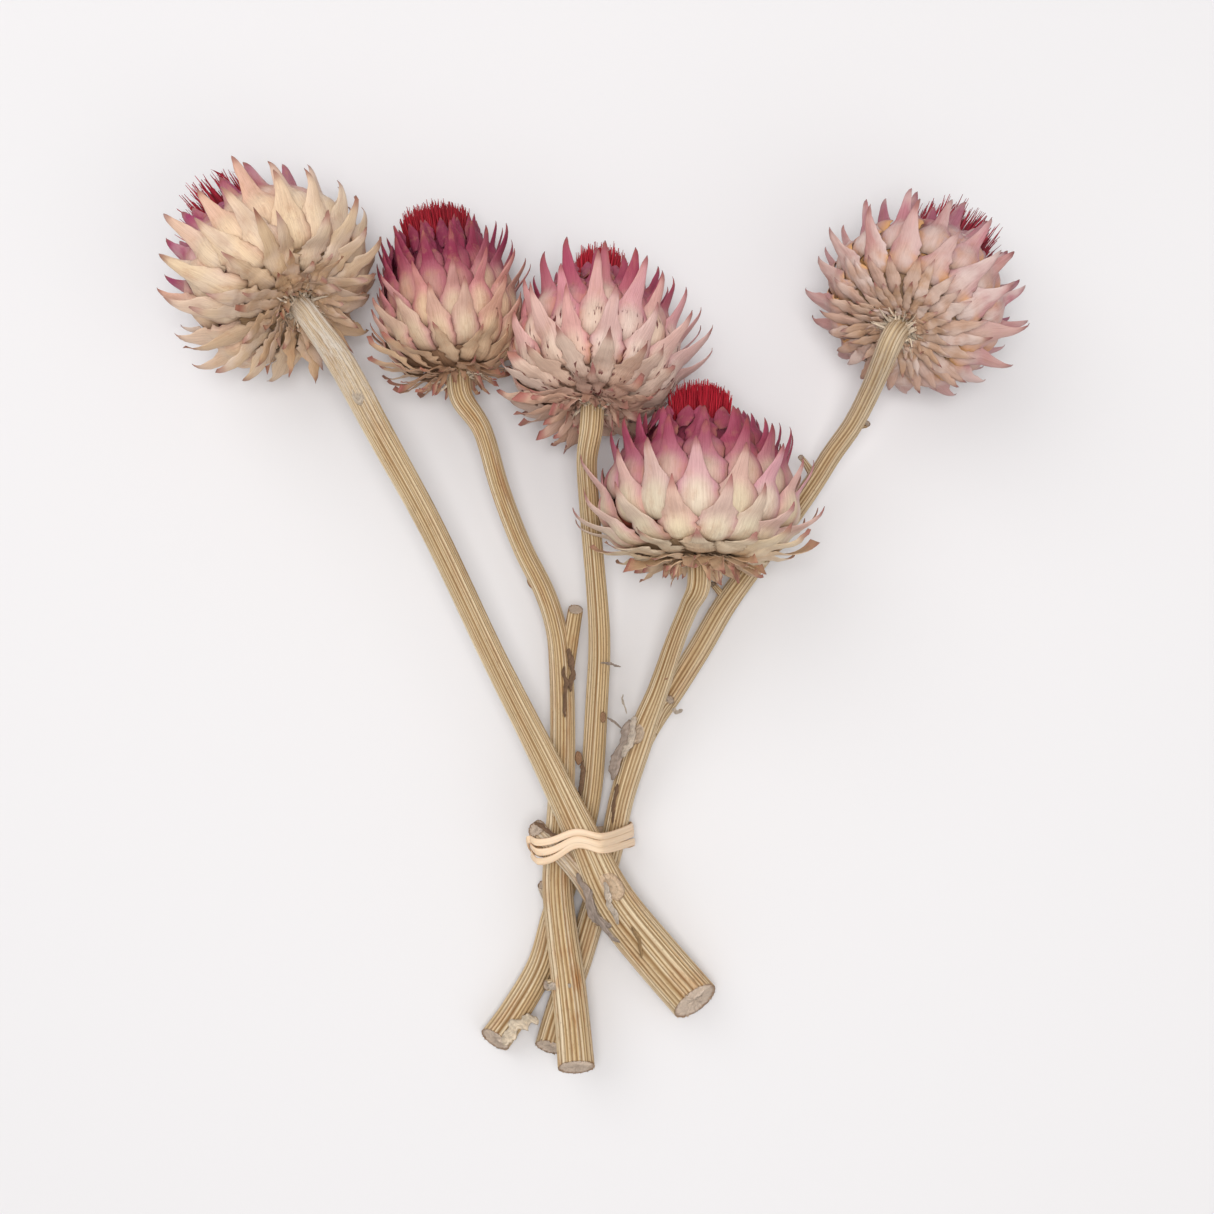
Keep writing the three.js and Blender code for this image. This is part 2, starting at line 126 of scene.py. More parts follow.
STEM_5_SHOOTS = [
    [(62, 3, 13, 3), (56.5, 9, 14, 1.8), (53.5, 12.5, 14.5, 1.8)],
    [(106, 65, 21, 2.8), (100, 74, 24, 1.6), (97.5, 76.5, 25, 1.6)],
    [(123, 92, 37, 3), (128.5, 91, 39, 1.8), (131, 92.5, 40, 1.8)],
]

BAND_CENTRE_Y = -117.5
BAND_TILT = 6
BAND_TURNS = 3
BAND_BOW = 8  # how far the turns bow towards the flowers over the thick stem
BAND_BOW_AT = -12
BAND_PITCH = 4.2
BAND_HALF_WIDTH = 1.85
BAND_HALF_THICK = 0.5
BAND_REACH = 8  # how near its middle a stem must pass to be held
BAND_START = 225  # where its first turn starts, in degrees round the stems
BAND_RETURN = 1.2  # over how many radians its last turn crosses back to the first
BAND_STEPS = 420
BAND_SMOOTHING = 25  # steps over which a corner between two stems is rounded


# ---- curves
UP = np.array([0, 0, 1])


def spline(points, steps):
    """A uniform Catmull-Rom curve through the points, ends included, as steps samples."""
    p = np.asarray(points, float)
    p = np.vstack([2 * p[0] - p[1], p, 2 * p[-1] - p[-2]])
    t = np.linspace(0, len(p) - 3, steps)
    i = np.minimum(t.astype(int), len(p) - 4)
    f = (t - i)[:, None]
    a, b, c, d = p[i], p[i + 1], p[i + 2], p[i + 3]
    return 0.5 * (2 * b + (c - a) * f + (2 * a - 5 * b + 4 * c - d) * f**2 + (3 * b - 3 * c + d - a) * f**3)


def smoothstep(low, high, x):
    """From 0 at low to 1 at high, level at both."""
    f = np.clip((x - low) / (high - low), 0, 1)
    return f * f * (3 - 2 * f)


def lerp(a, b, f):
    """From a at share 0 to b at share 1."""
    return a + (b - a) * f


def moved(points, right, x, up, y):
    """The points moved x along right and y along up."""
    return points + right * x[..., None] + up * y[..., None]


def circle(sides):
    """Angles of that many points round a circle."""
    return np.linspace(0, 2 * np.pi, sides, endpoint=False)


def stacked(*values):
    """The values brought to one shape and stacked on a last axis."""
    return np.stack(np.broadcast_arrays(*values), -1)


# ---- meshes
def loft(rings, flip=False, **values):
    """Closed bodies from rings[body, ring, point, xyz], with values[name][body, ring, point, ...].
    The rings run anticlockwise about the way they are stacked, or clockwise with flip."""
    values.setdefault("mark", np.zeros(rings.shape))
    if flip:
        rings = rings[:, :, ::-1]
        values = {name: value[:, :, ::-1] for name, value in values.items()}
    bodies, along, around = rings.shape[:3]
    ring = np.arange(along * around).reshape(along, around)
    low, high = ring[:-1], ring[1:]
    quads = np.stack([low, np.roll(low, -1, 1), np.roll(high, -1, 1), high], -1).reshape(-1, 4)
    start = np.arange(bodies)[:, None, None] * along * around
    caps = np.stack([ring[0][::-1], ring[-1]])
    return {
        "points": rings.reshape(-1, 3),
        "quads": (quads[None] + start).reshape(-1, 4),
        "caps": (caps[None] + start).reshape(-1, around),
        "values": {n: v.reshape(bodies * along * around, -1) for n, v in values.items()},
    }


def build(name, parts, material, nodes):
    """One piece from lofted parts: a mesh that rides on the bunch and stands for CAD nodes."""
    faces, sizes, offset = [], [], 0
    for part in parts:
        for polygons in (part["quads"], part["caps"]):
            faces.append((polygons + offset).ravel())
            sizes.append(np.full(len(polygons), polygons.shape[1]))
        offset += len(part["points"])
    points = np.vstack([part["points"] for part in parts])
    points = np.clip(points, LOWEST, HIGHEST)
    faces, sizes = np.concatenate(faces), np.concatenate(sizes)
    mesh = bpy.data.meshes.new(name)
    mesh.vertices.add(len(points))
    mesh.vertices.foreach_set("co", (points * MM).ravel())
    mesh.loops.add(len(faces))
    mesh.loops.foreach_set("vertex_index", faces)
    mesh.polygons.add(len(sizes))
    mesh.polygons.foreach_set("loop_start", np.concatenate([[0], np.cumsum(sizes)[:-1]]))
    mesh.polygons.foreach_set("use_smooth", np.ones(len(sizes), bool))
    for key in parts[0]["values"]:
        data = np.vstack([part["values"][key] for part in parts]).astype(np.float32)
        if key == "tint":
            data = np.hstack([data, np.ones((len(data), 1), np.float32)])
            mesh.attributes.new(key, "FLOAT_COLOR", "POINT").data.foreach_set("color", data.ravel())
        else:
            mesh.attributes.new(key, "FLOAT_VECTOR", "POINT").data.foreach_set("vector", data.ravel())
    mesh.update(calc_edges=True)
    mesh.validate()
    mesh.materials.append(material)
    piece = bpy.data.objects.new(name, mesh)
    bpy.context.scene.collection.objects.link(piece)
    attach(piece, "root")
    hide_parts(*nodes)
    return piece


def linear(red, green, blue):
    """A linear colour from 0 to 255 sRGB values."""
    c = np.array([red, green, blue]) / 255
    return np.where(c < 0.04045, c / 12.92, ((c + 0.055) / 1.055) ** 2.4)


# ---- materials
class Shader:
    """A material's node tree, with short calls for the nodes used here. The meshes carry skin, the
    place on the surface in millimetres, tint, and mark, three shares of stains or wear."""

    def __init__(self, name, roughness, **sockets):
        self.material = bpy.data.materials.new(name)
        self.material.use_nodes = True
        self.tree = self.material.node_tree
        self.bsdf = self.tree.nodes["Principled BSDF"]
        self.bsdf.inputs["Roughness"].default_value = roughness
        for socket, value in sockets.items():
            self.bsdf.inputs[socket.replace("_", " ")].default_value = value

    def link(self, source, target):
        self.tree.links.new(source, target)

    def attribute(self, name, output="Vector"):
        node = self.tree.nodes.new("ShaderNodeAttribute")
        node.attribute_name = name
        return node.outputs[output]

    def parts(self, vector):
        node = self.tree.nodes.new("ShaderNodeSeparateXYZ")
        self.link(vector, node.inputs[0])
        return node.outputs

    def noise(self, skin, stretch, scale, detail=4, roughness=0.6):
        """Noise that has so many features for each millimetre across and along the skin."""
        scaled = self.tree.nodes.new("ShaderNodeVectorMath")
        scaled.operation = "MULTIPLY"
        self.link(skin, scaled.inputs[0])
        scaled.inputs[1].default_value = (*stretch, 1)
        node = self.tree.nodes.new("ShaderNodeTexNoise")
        self.link(scaled.outputs[0], node.inputs["Vector"])
        for key, value in (("Scale", scale), ("Detail", detail), ("Roughness", roughness)):
            node.inputs[key].default_value = value
        return node.outputs["Fac"]

    def ramp(self, value, low, high, out_low=0, out_high=1):
        node = self.tree.nodes.new("ShaderNodeMapRange")
        self.link(value, node.inputs["Value"])
        for socket, limit in zip(node.inputs[1:5], (low, high, out_low, out_high)):
            socket.default_value = limit
        return node.outputs["Result"]

    def maths(self, operation, a, b):
        node = self.tree.nodes.new("ShaderNodeMath")
        node.operation = operation
        for socket, value in zip(node.inputs, (a, b)):
            if isinstance(value, (int, float)):
                socket.default_value = value
            else:
                self.link(value, socket)
        return node.outputs[0]

    def mix(self, blend, factor, a, b):
        node = self.tree.nodes.new("ShaderNodeMix")
        node.data_type = "RGBA"
        node.blend_type = blend
        sockets = (node.inputs[0], node.inputs[6], node.inputs[7])
        for socket, value in zip(sockets, (factor, a, b)):
            if isinstance(value, (int, float)):
                socket.default_value = value
            elif isinstance(value, (tuple, list, np.ndarray)):
                socket.default_value = (*value[:3], 1)
            else:
                self.link(value, socket)
        return node.outputs[2]

    def streaked(self, tint, noise, low, high, dark, light):
        """The tint, darker where the noise is low and lighter where it is high."""
        return self.mix("MULTIPLY", 1, tint, self.mix("MIX", self.ramp(noise, low, high), dark, light))

    def patched(self, colour, noise, low, high, share, patch, blend="MIX"):
        """The colour with a patch colour over it where the noise is high, as strongly as share says."""
        strength = self.maths("MULTIPLY", self.ramp(noise, low, high), share)
        return self.mix(blend, strength, colour, linear(*patch))

    def colour(self, colour):
        self.link(colour, self.bsdf.inputs["Base Color"])

    def rough(self, value):
        self.link(value, self.bsdf.inputs["Roughness"])

    def bump(self, height, strength, distance):
        node = self.tree.nodes.new("ShaderNodeBump")
        node.inputs["Strength"].default_value = strength
        node.inputs["Distance"].default_value = distance
        self.link(height, node.inputs["Height"])
        self.link(node.outputs["Normal"], self.bsdf.inputs["Normal"])


def bract_material(name, mottle):
    """Dry papery skin: faint lengthwise fibres and soft blotches over the tint, dark flecks and
    straw-coloured patches where the marks ask for them."""
    shader = Shader(name, 0.6, Specular_IOR_Level=0.35)
    skin, tint = shader.attribute("skin"), shader.attribute("tint", "Color")
    fleck_share, straw_share, grey_share = shader.parts(shader.attribute("mark"))
    fibres = shader.noise(skin, (1.7, 0.09), 1.3, 4, 0.6)
    blotches = shader.noise(skin, (0.2, 0.14), 1, 5, 0.65)
    cloud = shader.noise(skin, (0.11, 0.09), 1, 3, 0.5)
    flecks = shader.noise(skin, (0.62, 0.16), 1, 2, 0.5)
    colour = shader.streaked(tint, fibres, 0.3, 0.7, (0.84, 0.79, 0.77), (1.06, 1.05, 1.04))
    colour = shader.mix("MIX", shader.ramp(blotches, 0.53, 0.7, 0, mottle), colour, linear(186, 136, 104))
    colour = shader.patched(colour, cloud, 0.42, 0.62, grey_share, (222, 204, 196))
    colour = shader.patched(colour, cloud, 0.6, 0.5, straw_share, (226, 172, 112))
    colour = shader.patched(colour, flecks, 0.6, 0.64, fleck_share, (112, 58, 56))
    shader.colour(colour)
    shader.rough(shader.ramp(blotches, 0.3, 0.8, 0.5, 0.72))
    height = shader.maths("ADD", fibres, shader.maths("MULTIPLY", blotches, 2.2))
    shader.bump(height, 0.7, 0.0005)
    return shader.material


def strand_material(name):
    """Fine dry strands, streaked lengthwise over the tint."""
    shader = Shader(name, 0.65, Specular_IOR_Level=0.3)
    skin, tint = shader.attribute("skin"), shader.attribute("tint", "Color")
    streaks = shader.noise(skin, (2, 0.3), 1, 2)
    shader.colour(shader.streaked(tint, streaks, 0.3, 0.7, (0.75, 0.72, 0.72), (1.1, 1.05, 1.05)))
    shader.bump(streaks, 0.4, 0.0002)
    return shader.material


def stem_material():
    """Ribbed dry stalk: fine fibres, brown stains and pores over the tint."""
    shader = Shader("dry_stem", 0.66, Specular_IOR_Level=0.3)
    skin, tint = shader.attribute("skin"), shader.attribute("tint", "Color")
    stain_share, grey_share, fray_share = shader.parts(shader.attribute("mark"))
    fibres = shader.noise(skin, (2.6, 0.03), 1.2, 4, 0.65)
    stain = shader.noise(skin, (0.16, 0.028), 1, 5, 0.65)
    pores = shader.noise(skin, (1.3, 0.5), 1, 2, 0.5)
    patches = shader.noise(skin, (0.35, 0.07), 1, 4, 0.7)
    colour = shader.streaked(tint, fibres, 0.34, 0.66, (0.84, 0.78, 0.7), (1.08, 1.07, 1.05))
    colour = shader.patched(colour, stain, 0.5, 0.68, stain_share, (214, 166, 116), "MULTIPLY")
    colour = shader.patched(colour, patches, 0.46, 0.6, grey_share, (214, 202, 188))
    colour = shader.patched(colour, pores, 0.6, 0.72, 0.45, (126, 92, 66))
    shader.colour(colour)
    shader.rough(shader.ramp(fibres, 0.3, 0.7, 0.78, 0.55))
    rough = shader.maths("MULTIPLY", pores, shader.ramp(fray_share, 0, 1, 0.5, 3))
    shader.bump(shader.maths("ADD", fibres, rough), 0.8, 0.0006)
    return shader.material


def band_material():
    """Slightly translucent rubber with a faint lengthwise grain."""
    shader = Shader("rubber", 0.42, Subsurface_Weight=0.15, Specular_IOR_Level=0.45)
    shader.bsdf.inputs["Subsurface Radius"].default_value = (1, 0.6, 0.4)
    shader.bsdf.inputs["Subsurface Scale"].default_value = 0.0012
    skin, tint = shader.attribute("skin"), shader.attribute("tint", "Color")
    grain = shader.noise(skin, (0.8, 0.12), 1, 4)
    shader.colour(shader.streaked(tint, grain, 0.35, 0.7, (0.86, 0.82, 0.77), (1.04, 1.03, 1.02)))
    shader.rough(shader.ramp(grain, 0.3, 0.7, 0.36, 0.52))
    shader.bump(grain, 0.35, 0.0003)
    return shader.material


# ---- flower heads
class Head:
    """A flower head: its cup's outline and its place, taken from its florets' CAD solid."""

    def __init__(self, name, size):
        self.name = name
        self.size = size
        belly, mouth, height, tuft = (size[k] for k in ("belly", "mouth", "height", "tuft"))
        profile = spline(
            [
                (NECK_RADIUS, 0), (belly * 0.55, height * 0.03), (belly * 0.87, height * 0.13),
                (belly, height * 0.31), (belly * 0.93, height * 0.52),
                ((belly + mouth) / 2, height * 0.77), (mouth, height),
                (mouth - TUFT_TAPER, height + tuft),
            ],
            211,
        )
        self.profile = profile
        self.lengths = np.concatenate([[0], np.cumsum(np.linalg.norm(np.diff(profile, axis=0), axis=1))])
        self.cup = self.lengths[np.argmax(profile[:, 1] >= height)]
        self.starts = ROW_STARTS * self.cup
        heading, droop = math.radians(size["heading"]), math.radians(-size["droop"])
        self.axis = np.array([
            math.cos(droop) * math.cos(heading), math.cos(droop) * math.sin(heading), math.sin(droop),
        ])
        turn = Vector((0, 0, 1)).rotation_difference(Vector(self.axis))
        self.turn = np.array(turn.to_matrix())
        self.base = np.array(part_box(f"{name}_florets")[0]) / MM - self.lowest_corner()

    def core_start(self):
        """Where along the outline the florets begin, just above the receptacle."""
        lengths = np.linspace(0, self.cup, 200)
        return lengths[np.argmax(self.at(lengths, -GAP)[1] >= RECEPTACLE_DEPTH)] + 2 * GAP

    def lowest_corner(self):
        """The low corner of the florets' solid about the neck, before it is put in place."""
        radius, height = self.at(np.linspace(self.core_start(), self.lengths[-1], 8), -GAP)
        radius = np.concatenate([[0], radius, [0]])
        top = self.size["height"] + self.size["tuft"] + TUFT_DOME
        height = np.concatenate([[height[0]], height, [top]])
        angle = circle(LATHE_SIDES)[:, None]
        points = np.stack([radius * np.sin(angle), -radius * np.cos(angle), height + 0 * angle], -1)
        return (points.reshape(-1, 3) @ self.turn.T).min(0)

    def at(self, length, off):
        """Radius and height at a length along the outline and off it."""
        length = np.asarray(length, float)
        i = np.clip(np.searchsorted(self.lengths, length, "right"), 1, len(self.lengths) - 1)
        a, b = self.profile[i - 1], self.profile[i]
        way = (b - a) / np.linalg.norm(b - a, axis=-1, keepdims=True)
        p = a + way * (length - self.lengths[i - 1])[..., None]
        return p[..., 0] + off * way[..., 1], p[..., 1] - off * way[..., 0]

    def row_length(self, rows):
        """Length along the outline at a number of rows from the lowest one; the neck is at -1."""
        pitch = self.starts[-1] - self.starts[-2]
        marks = np.concatenate([[0], self.starts, [self.starts[-1] + 4 * pitch]])
        count = len(self.starts)
        return np.interp(rows, np.concatenate([[-1], np.arange(count), [count + 3]]), marks)

    def world(self, local):
        """Points given in the head's own axes, where it lies."""
        return local @ self.turn.T + self.base

    def placed(self, radius, height, angle):
        """Points of the head where it lies, in millimetres."""
        return self.world(stacked(radius * np.cos(angle), radius * np.sin(angle), height))

    def off(self, points):
        """How far placed points are off the outline, negative inside it."""
        local = (points - self.base) @ self.turn
        radius, up = np.hypot(local[..., 0], local[..., 1]), local[..., 2]
        gap = np.hypot(radius[..., None] - self.profile[:, 0], up[..., None] - self.profile[:, 1])
        outline = np.interp(up, self.profile[:, 1], self.profile[:, 0])
        inside = (up > 0) & (up < self.profile[-1, 1]) & (radius < outline)
        return np.where(inside, -gap.min(-1), gap.min(-1))


heads = {name: Head(name, size) for name, size in HEADS.items()}
# How far the design's origin is from the frame's.
SHIFT = np.append(
    heads["head_1"].base[:2] - HEADS["head_1"]["base"],
    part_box("head_1_florets")[0][2] / MM - SEAT,
)

# The outlines a bract's width follows, as (share of its length, share of its width).
URN = [(0, 0.82), (0.12, 0.96), (0.28, 1), (0.41, 0.97), (0.5, 0.82), (0.58, 0.57), (0.66, 0.39),
       (0.79, 0.25), (0.92, 0.13), (1, 0.02)]
LANCE = [(0, 0.6), (0.2, 0.88), (0.42, 1), (0.64, 0.86), (0.82, 0.5), (0.93, 0.22), (1, 0.02)]
SCALE = [(0, 0.75), (0.2, 0.96), (0.42, 1), (0.58, 0.78), (0.72, 0.45), (0.88, 0.2), (1, 0.02)]

# Rows of bracts, outermost first. start and reach count rows along the head, width is in
# millimetres, flare is how far the spines stand off in millimetres, bulge how full the bodies are
# and ragged how torn they are. The neck whorls are the torn bracts below the lowest row.
ROW_KEYS = ("start", "count", "width", "reach", "flare", "bulge", "outline", "ragged")
ROWS = [dict(zip(ROW_KEYS, row)) for row in (
    (0, 19, 8, 2.0, 9, 0.6, LANCE, 0.85),
    (1, 18, 11, 2.1, 11, 0.9, LANCE, 0.7),
    (2, 16, 20, 2.2, 12, 1.7, SCALE, 0.3),
    (3, 16, 23, 2.5, 13, 2.8, URN, 0.08),
    (4, 15, 23, 2.65, 11, 3.0, URN, 0.06),
    (5, 13, 21, 2.55, 7, 2.6, URN, 0.05),
    (6, 11, 16, 2.1, 3, 1.6, URN, 0.05),
)]
NECK_WHORLS = [dict(zip(ROW_KEYS, row)) for row in (
    (-0.55, 15, 5.5, 1.5, 7, 0.4, LANCE, 1.0),
    (-0.9, 13, 4.5, 1.1, 5, 0.3, LANCE, 1.0),
)]
INNER_WHORL = dict(zip(ROW_KEYS, (6.8, 17, 9, 1.5, 0.3, 0.3, LANCE, 0.05)))
ROW_PITCH = 14  # about how far apart the rows start, for the grain of their skin
BRACT_RINGS = 22
BRACT_HALF = 10  # columns on each face of a bract
NEIGHBOUR_ROOM = 0.8  # how much nearer its own head a spine stays
STEM_ROOM = 1.2


def clear_share(head, others, stems, points):
    """Which placed points are in the model's box, nearer their own head and clear of the stems."""
    good = (points > LOWEST + 1).all(-1) & (points < HIGHEST - 0.5).all(-1)
    own = head.off(points)
    for other in others:
        good &= other.off(points) > own + NEIGHBOUR_ROOM
    for core, radius in stems:
        gap = np.linalg.norm(points[..., None, :] - core, axis=-1) - radius
        good &= gap.min(-1) > STEM_ROOM
    return good


def bract_row(head, row, others, stems, look):
    """All bracts of one row, each a closed thin body with a full foot and a spine."""
    start, ragged = row["start"], row["ragged"]
    base = start < 2
    count = round(row["count"] * (look["crowd"] if base else 1))
    shape = (count, 1, 1)
    level = np.clip(start / (len(ROWS) - 1), 0, 1)
    ragged *= look["ragged"] if base else 1
    v = np.linspace(0, 1, BRACT_RINGS)[None, :, None]
    steps = np.arange(2 * BRACT_HALF)
    u = -np.cos(np.pi * steps / BRACT_HALF)[None, None, :]
    front = np.sin(np.pi * steps / BRACT_HALF)[None, None, :]

    def jitter(amount):
        return 1 + amount * rng.uniform(-1, 1, shape)

    shorter = lerp(1, look["crown_reach"], np.clip((level - 0.6) / 0.25, 0, 1))
    reach = row["reach"] * jitter(0.07 + 0.14 * ragged) * shorter * look["base_reach" if base else "reach"]
    width = row["width"] * jitter(0.1) * head.size["belly"] / 42 * look["broad" if base else "slim"]
    flare = row["flare"] * jitter(0.3) * look["base_flare" if base else "flare"]
    bulge = row["bulge"] * jitter(0.15)
    sway = rng.normal(0, 1.2 + 2.2 * ragged, shape)
    tilt = 1.1 * jitter(0.4)
    angle = 2 * np.pi * (np.arange(count)[:, None, None] + 0.5 * (round(start) % 2)) / count
    angle = angle + rng.normal(0, 0.03 + 0.04 * ragged, shape) + math.radians(5)

    outline = np.array(row["outline"])
    half = np.interp(v, outline[:, 0], outline[:, 1]) * width / 2
    edge_noise = rng.normal(0, 1, (count, BRACT_RINGS, 2))
    edge_noise = (edge_noise + 0.8 * np.roll(edge_noise, 1, 1)) / 1.3
    side = np.where(u < 0, edge_noise[:, :, :1], edge_noise[:, :, 1:])
    half = half * (1 + (0.03 + 0.22 * ragged) * side * np.abs(u) * smoothstep(0.05, 0.35, v))

    rows = v * reach
    body = np.sin(np.pi * np.clip(v / 0.62, 0, 1)) ** 0.8
    horn = smoothstep(0.45, 1, v) ** 1.2
    waves = rng.normal(0, 1, (count, BRACT_RINGS, 1))
    waves = sum(np.roll(waves, k, 1) for k in range(5)) / 5
    curl = rng.normal(0, 1, shape) * ragged
    crease = rng.normal(0, 0.35, shape)

    def surface(bend):
        off = 0.9 + LAYER * rows + bulge * body + bend * horn
        arch = lerp(3.0, 1.3, smoothstep(0.4, 0.75, v)) * (width / 26) * half / (width / 2)
        off = off - arch * u**2 + tilt * u * (1 - smoothstep(0.45, 0.7, v))
        off = off + crease * np.cos(3 * u + 5 * v) * (1 - v)
        off = off + ragged * (1.6 * waves * v + 2.0 * curl * v**2 * u)
        thick = lerp(0.85, 1.5, smoothstep(0.4, 0.7, v)) * (1 - 0.8 * smoothstep(0.8, 1, v))
        thick = np.minimum(thick * (1 - 0.35 * ragged), half)
        off = off + front * thick * 0.5
        length = head.row_length(start + rows)
        radius, height = head.at(length + 0 * u, off)
        shift = u * half + sway * v**2
        return head.placed(radius, height, angle + shift / np.maximum(radius, 6))

    # A spine that meets something is bent in, a little at a time.
    bend = flare.copy()
    for _ in range(12):
        probe = surface(bend)[:, [BRACT_RINGS - 1, BRACT_RINGS - 6], BRACT_HALF // 2]
        bad = ~clear_share(head, others, stems, probe).all(1)
        bend[bad] -= 0.16 * flare[bad]
    points = surface(bend)
    along, edge, face = (np.broadcast_to(x, points.shape[:3]) for x in (v, np.abs(u), front))
    tint = bract_tint(level, along, edge, face, shape, look)
    skin = stacked(u * half, v * reach * ROW_PITCH, rng.uniform(0, 900, shape))
    mark = bract_mark(level, along, edge, shape, look)
    return loft(points, flip=True, tint=tint, skin=skin, mark=mark)


def bract_mark(level, v, edge, shape, look):
    """How flecked, straw-coloured and grey each point of a row is."""
    foot = (1 - smoothstep(0.36, 0.5, v)) * smoothstep(0.05, 0.15, v)
    fleck = look["flecks"] * foot * (level < 0.55) + 0.12 * rng.uniform(0, 1, shape) * (level > 0.3)
    straw = look["straw"] * (1 - smoothstep(0.3, 0.45, v)) * edge**2 * (level > 0.2)
    grey = look["grey"] * rng.uniform(0.2, 1, shape)
    return stacked(fleck, straw, grey)


def bract_tint(level, v, edge, front, shape, look):
    """The colour of each point of a row: tan feet, cream bodies, blushing edges, purple crown, with painted
    shade at each bract's foot and inner face and along its brown edges.
    """
    mood = rng.uniform(-1, 1, shape)
    foot, cream, blush, crown, tip = (look[k] for k in ("foot", "cream", "blush", "crown", "tip"))
    body = 1 - smoothstep(0.4, 0.65, v)
    blushing = (level - 0.42) * 1.9 + 0.5 * smoothstep(0.25, 0.7, v) * (level > 0.3)
    blushing = (blushing + look["pinkness"] - 1 + 0.22 * mood) * (1 - 0.7 * body * (1 - edge))
    blushing = np.maximum(blushing, 0) + 1.0 * edge**3 * body * (level > 0.25) * look["pinkness"]
    purple = (level - 0.55) * 2.2 + 0.95 * smoothstep(0.4, 0.95, v) * smoothstep(0.45, 0.8, level)
    purple = (purple + 0.2 * mood) * look["purple"]
    tan = 1.15 - level * 3.6 + 0.25 * mood
    blushing, purple, tan = (np.clip(x, 0, 1)[..., None] for x in (blushing, purple, tan))
    colour = lerp(cream, blush, blushing)
    colour = lerp(colour, foot, tan * 0.85)
    colour = lerp(colour, crown, purple)
    # The dark colour for the painted shade and brown edges below: tan low on the head, purple in the crown.
    shade = lerp(foot, crown, smoothstep(0.5, 0.9, level))
    # Painted shade at each bract's foot, where it tucks under the row outside it.
    colour = lerp(colour, shade * 0.75, 0.6 * (1 - smoothstep(0.02, 0.2, v))[..., None])
    # Thin brown edges on the bodies, partly real browning and partly painted shade in the gaps between
    # bracts.
    colour = lerp(colour, shade * 0.62, (0.65 * smoothstep(0.8, 1, edge) * body)[..., None])
    colour = lerp(colour, tip, (smoothstep(0.82, 0.95, v) * 0.8)[..., None])
    # Painted shade on each bract's inner face, which is turned towards the head.
    inner = np.clip(-front, 0, 1)[..., None]
    colour = lerp(colour, shade * 0.75, inner * 0.6)
    hue = 1 + np.array([0.02, 0.0, -0.05]) * rng.uniform(-1, 1, shape)[..., None]
    return colour * hue * (1 + 0.08 * mood)[..., None]


def strands(feet, tips, thick, tint, bow, root_shade=0.55):
    """Tapering strands from feet to tips, bent a little to one side, with painted shade darkening their
    roots.
    """
    count = len(feet)
    v = np.linspace(0, 1, 7)[None, :, None]
    ring = circle(5)[None, None, :]
    run = tips - feet
    side = np.cross(run, rng.normal(0, 1, run.shape))
    side /= np.linalg.norm(side, axis=-1, keepdims=True)
    other = np.cross(run, side)
    other /= np.linalg.norm(other, axis=-1, keepdims=True)
    bend = (rng.normal(0, 1, (count, 1)) * bow)[:, None, :] * (v[..., 0] ** 2)[..., None]
    spread = np.sin(2.5 * v[..., 0])[..., None] * rng.normal(0, 0.3, (count, 1, 3)) * bow
    middle = feet[:, None] + run[:, None] * v + side[:, None] * bend + spread
    radius = thick[:, None, None] * (1 - 0.78 * v**1.6)
    rings = middle[:, :, None] + (
        side[:, None, None] * (radius * np.cos(ring))[..., None]
        + other[:, None, None] * (radius * np.sin(ring))[..., None]
    )
    shade = 1 + 0.2 * rng.normal(0, 1, (count, 1, 1, 1))
    # Painted shade: each strand darker towards its root, by the root_shade share.
    colour = lerp(tint * root_shade, tint, smoothstep(0.2, 0.75, v)[..., None]) * shade
    skin = stacked(ring * 2, v * 30, rng.uniform(0, 900, (count, 1, 1)))
    return loft(rings[:, :, ::-1], tint=np.broadcast_to(colour, rings.shape), skin=skin)


def lathed(head, radius, height, tint, wrap):
    """A closed body turned about a head's axis, its skin running wrap millimetres for each radian."""
    angle = circle(48)[None, :]
    rings = head.placed(radius[:, None], height[:, None] + 0 * angle, angle + 0 * radius[:, None])[None]
    skin = stacked(angle[None] * wrap, height[None, :, None], 0 * angle[None])
    return loft(rings, tint=np.broadcast_to(tint, rings.shape), skin=skin)


def core_of_florets(head, look):
    """What fills the cup under the tuft."""
    radius, height = head.at(np.linspace(head.core_start(), head.cup - 3, 18), np.linspace(-0.6, -3.5, 18))
    radius = np.concatenate([[0.5], radius, radius[-1] * np.array([0.8, 0.5, 0.05])])
    height = np.concatenate([[height[0]], height, height[-1] + np.array([1.5, 2.2, 2.4])])
    rise = smoothstep(0.5, 0.85, height / head.size["height"])[None, :, None, None]
    return lathed(head, radius, height, lerp(look["liner"], look["crown"], rise), 30)


def tuft(head, look):
    """Hundreds of bristles standing on the core, domed and leaning outwards."""
    count = 700
    spread = np.sqrt(rng.uniform(0, 1, count))
    around = rng.uniform(0, 2 * np.pi, count)
    top, rise = head.size["height"], head.size["tuft"] + look["tall"]
    reach = rise * (1.05 - look["dome"] * spread**3) * (1 + 0.12 * rng.normal(0, 1, count))
    radius = look["tuft_radius"] * spread
    lean = 1 + look["lean"] * rng.uniform(0.2, 1, count) * spread
    out = np.stack([np.cos(around), np.sin(around)], -1)
    feet = np.concatenate([out * radius[:, None] * 0.9, (top - 10 - 2 * spread**2)[:, None]], 1)
    tip_height = top + np.minimum(reach, rise * 1.25)
    tips = np.concatenate([out * (radius * lean)[:, None], tip_height[:, None]], 1)
    tips[:, :2] += rng.normal(0, 0.8 + 1.6 * look["lean"], (count, 2))
    thick = 0.6 * (1 + 0.2 * rng.normal(0, 1, count))
    return strands(head.world(feet), head.world(tips), thick, look["tuft"], 0.8 + 2 * look["lean"])


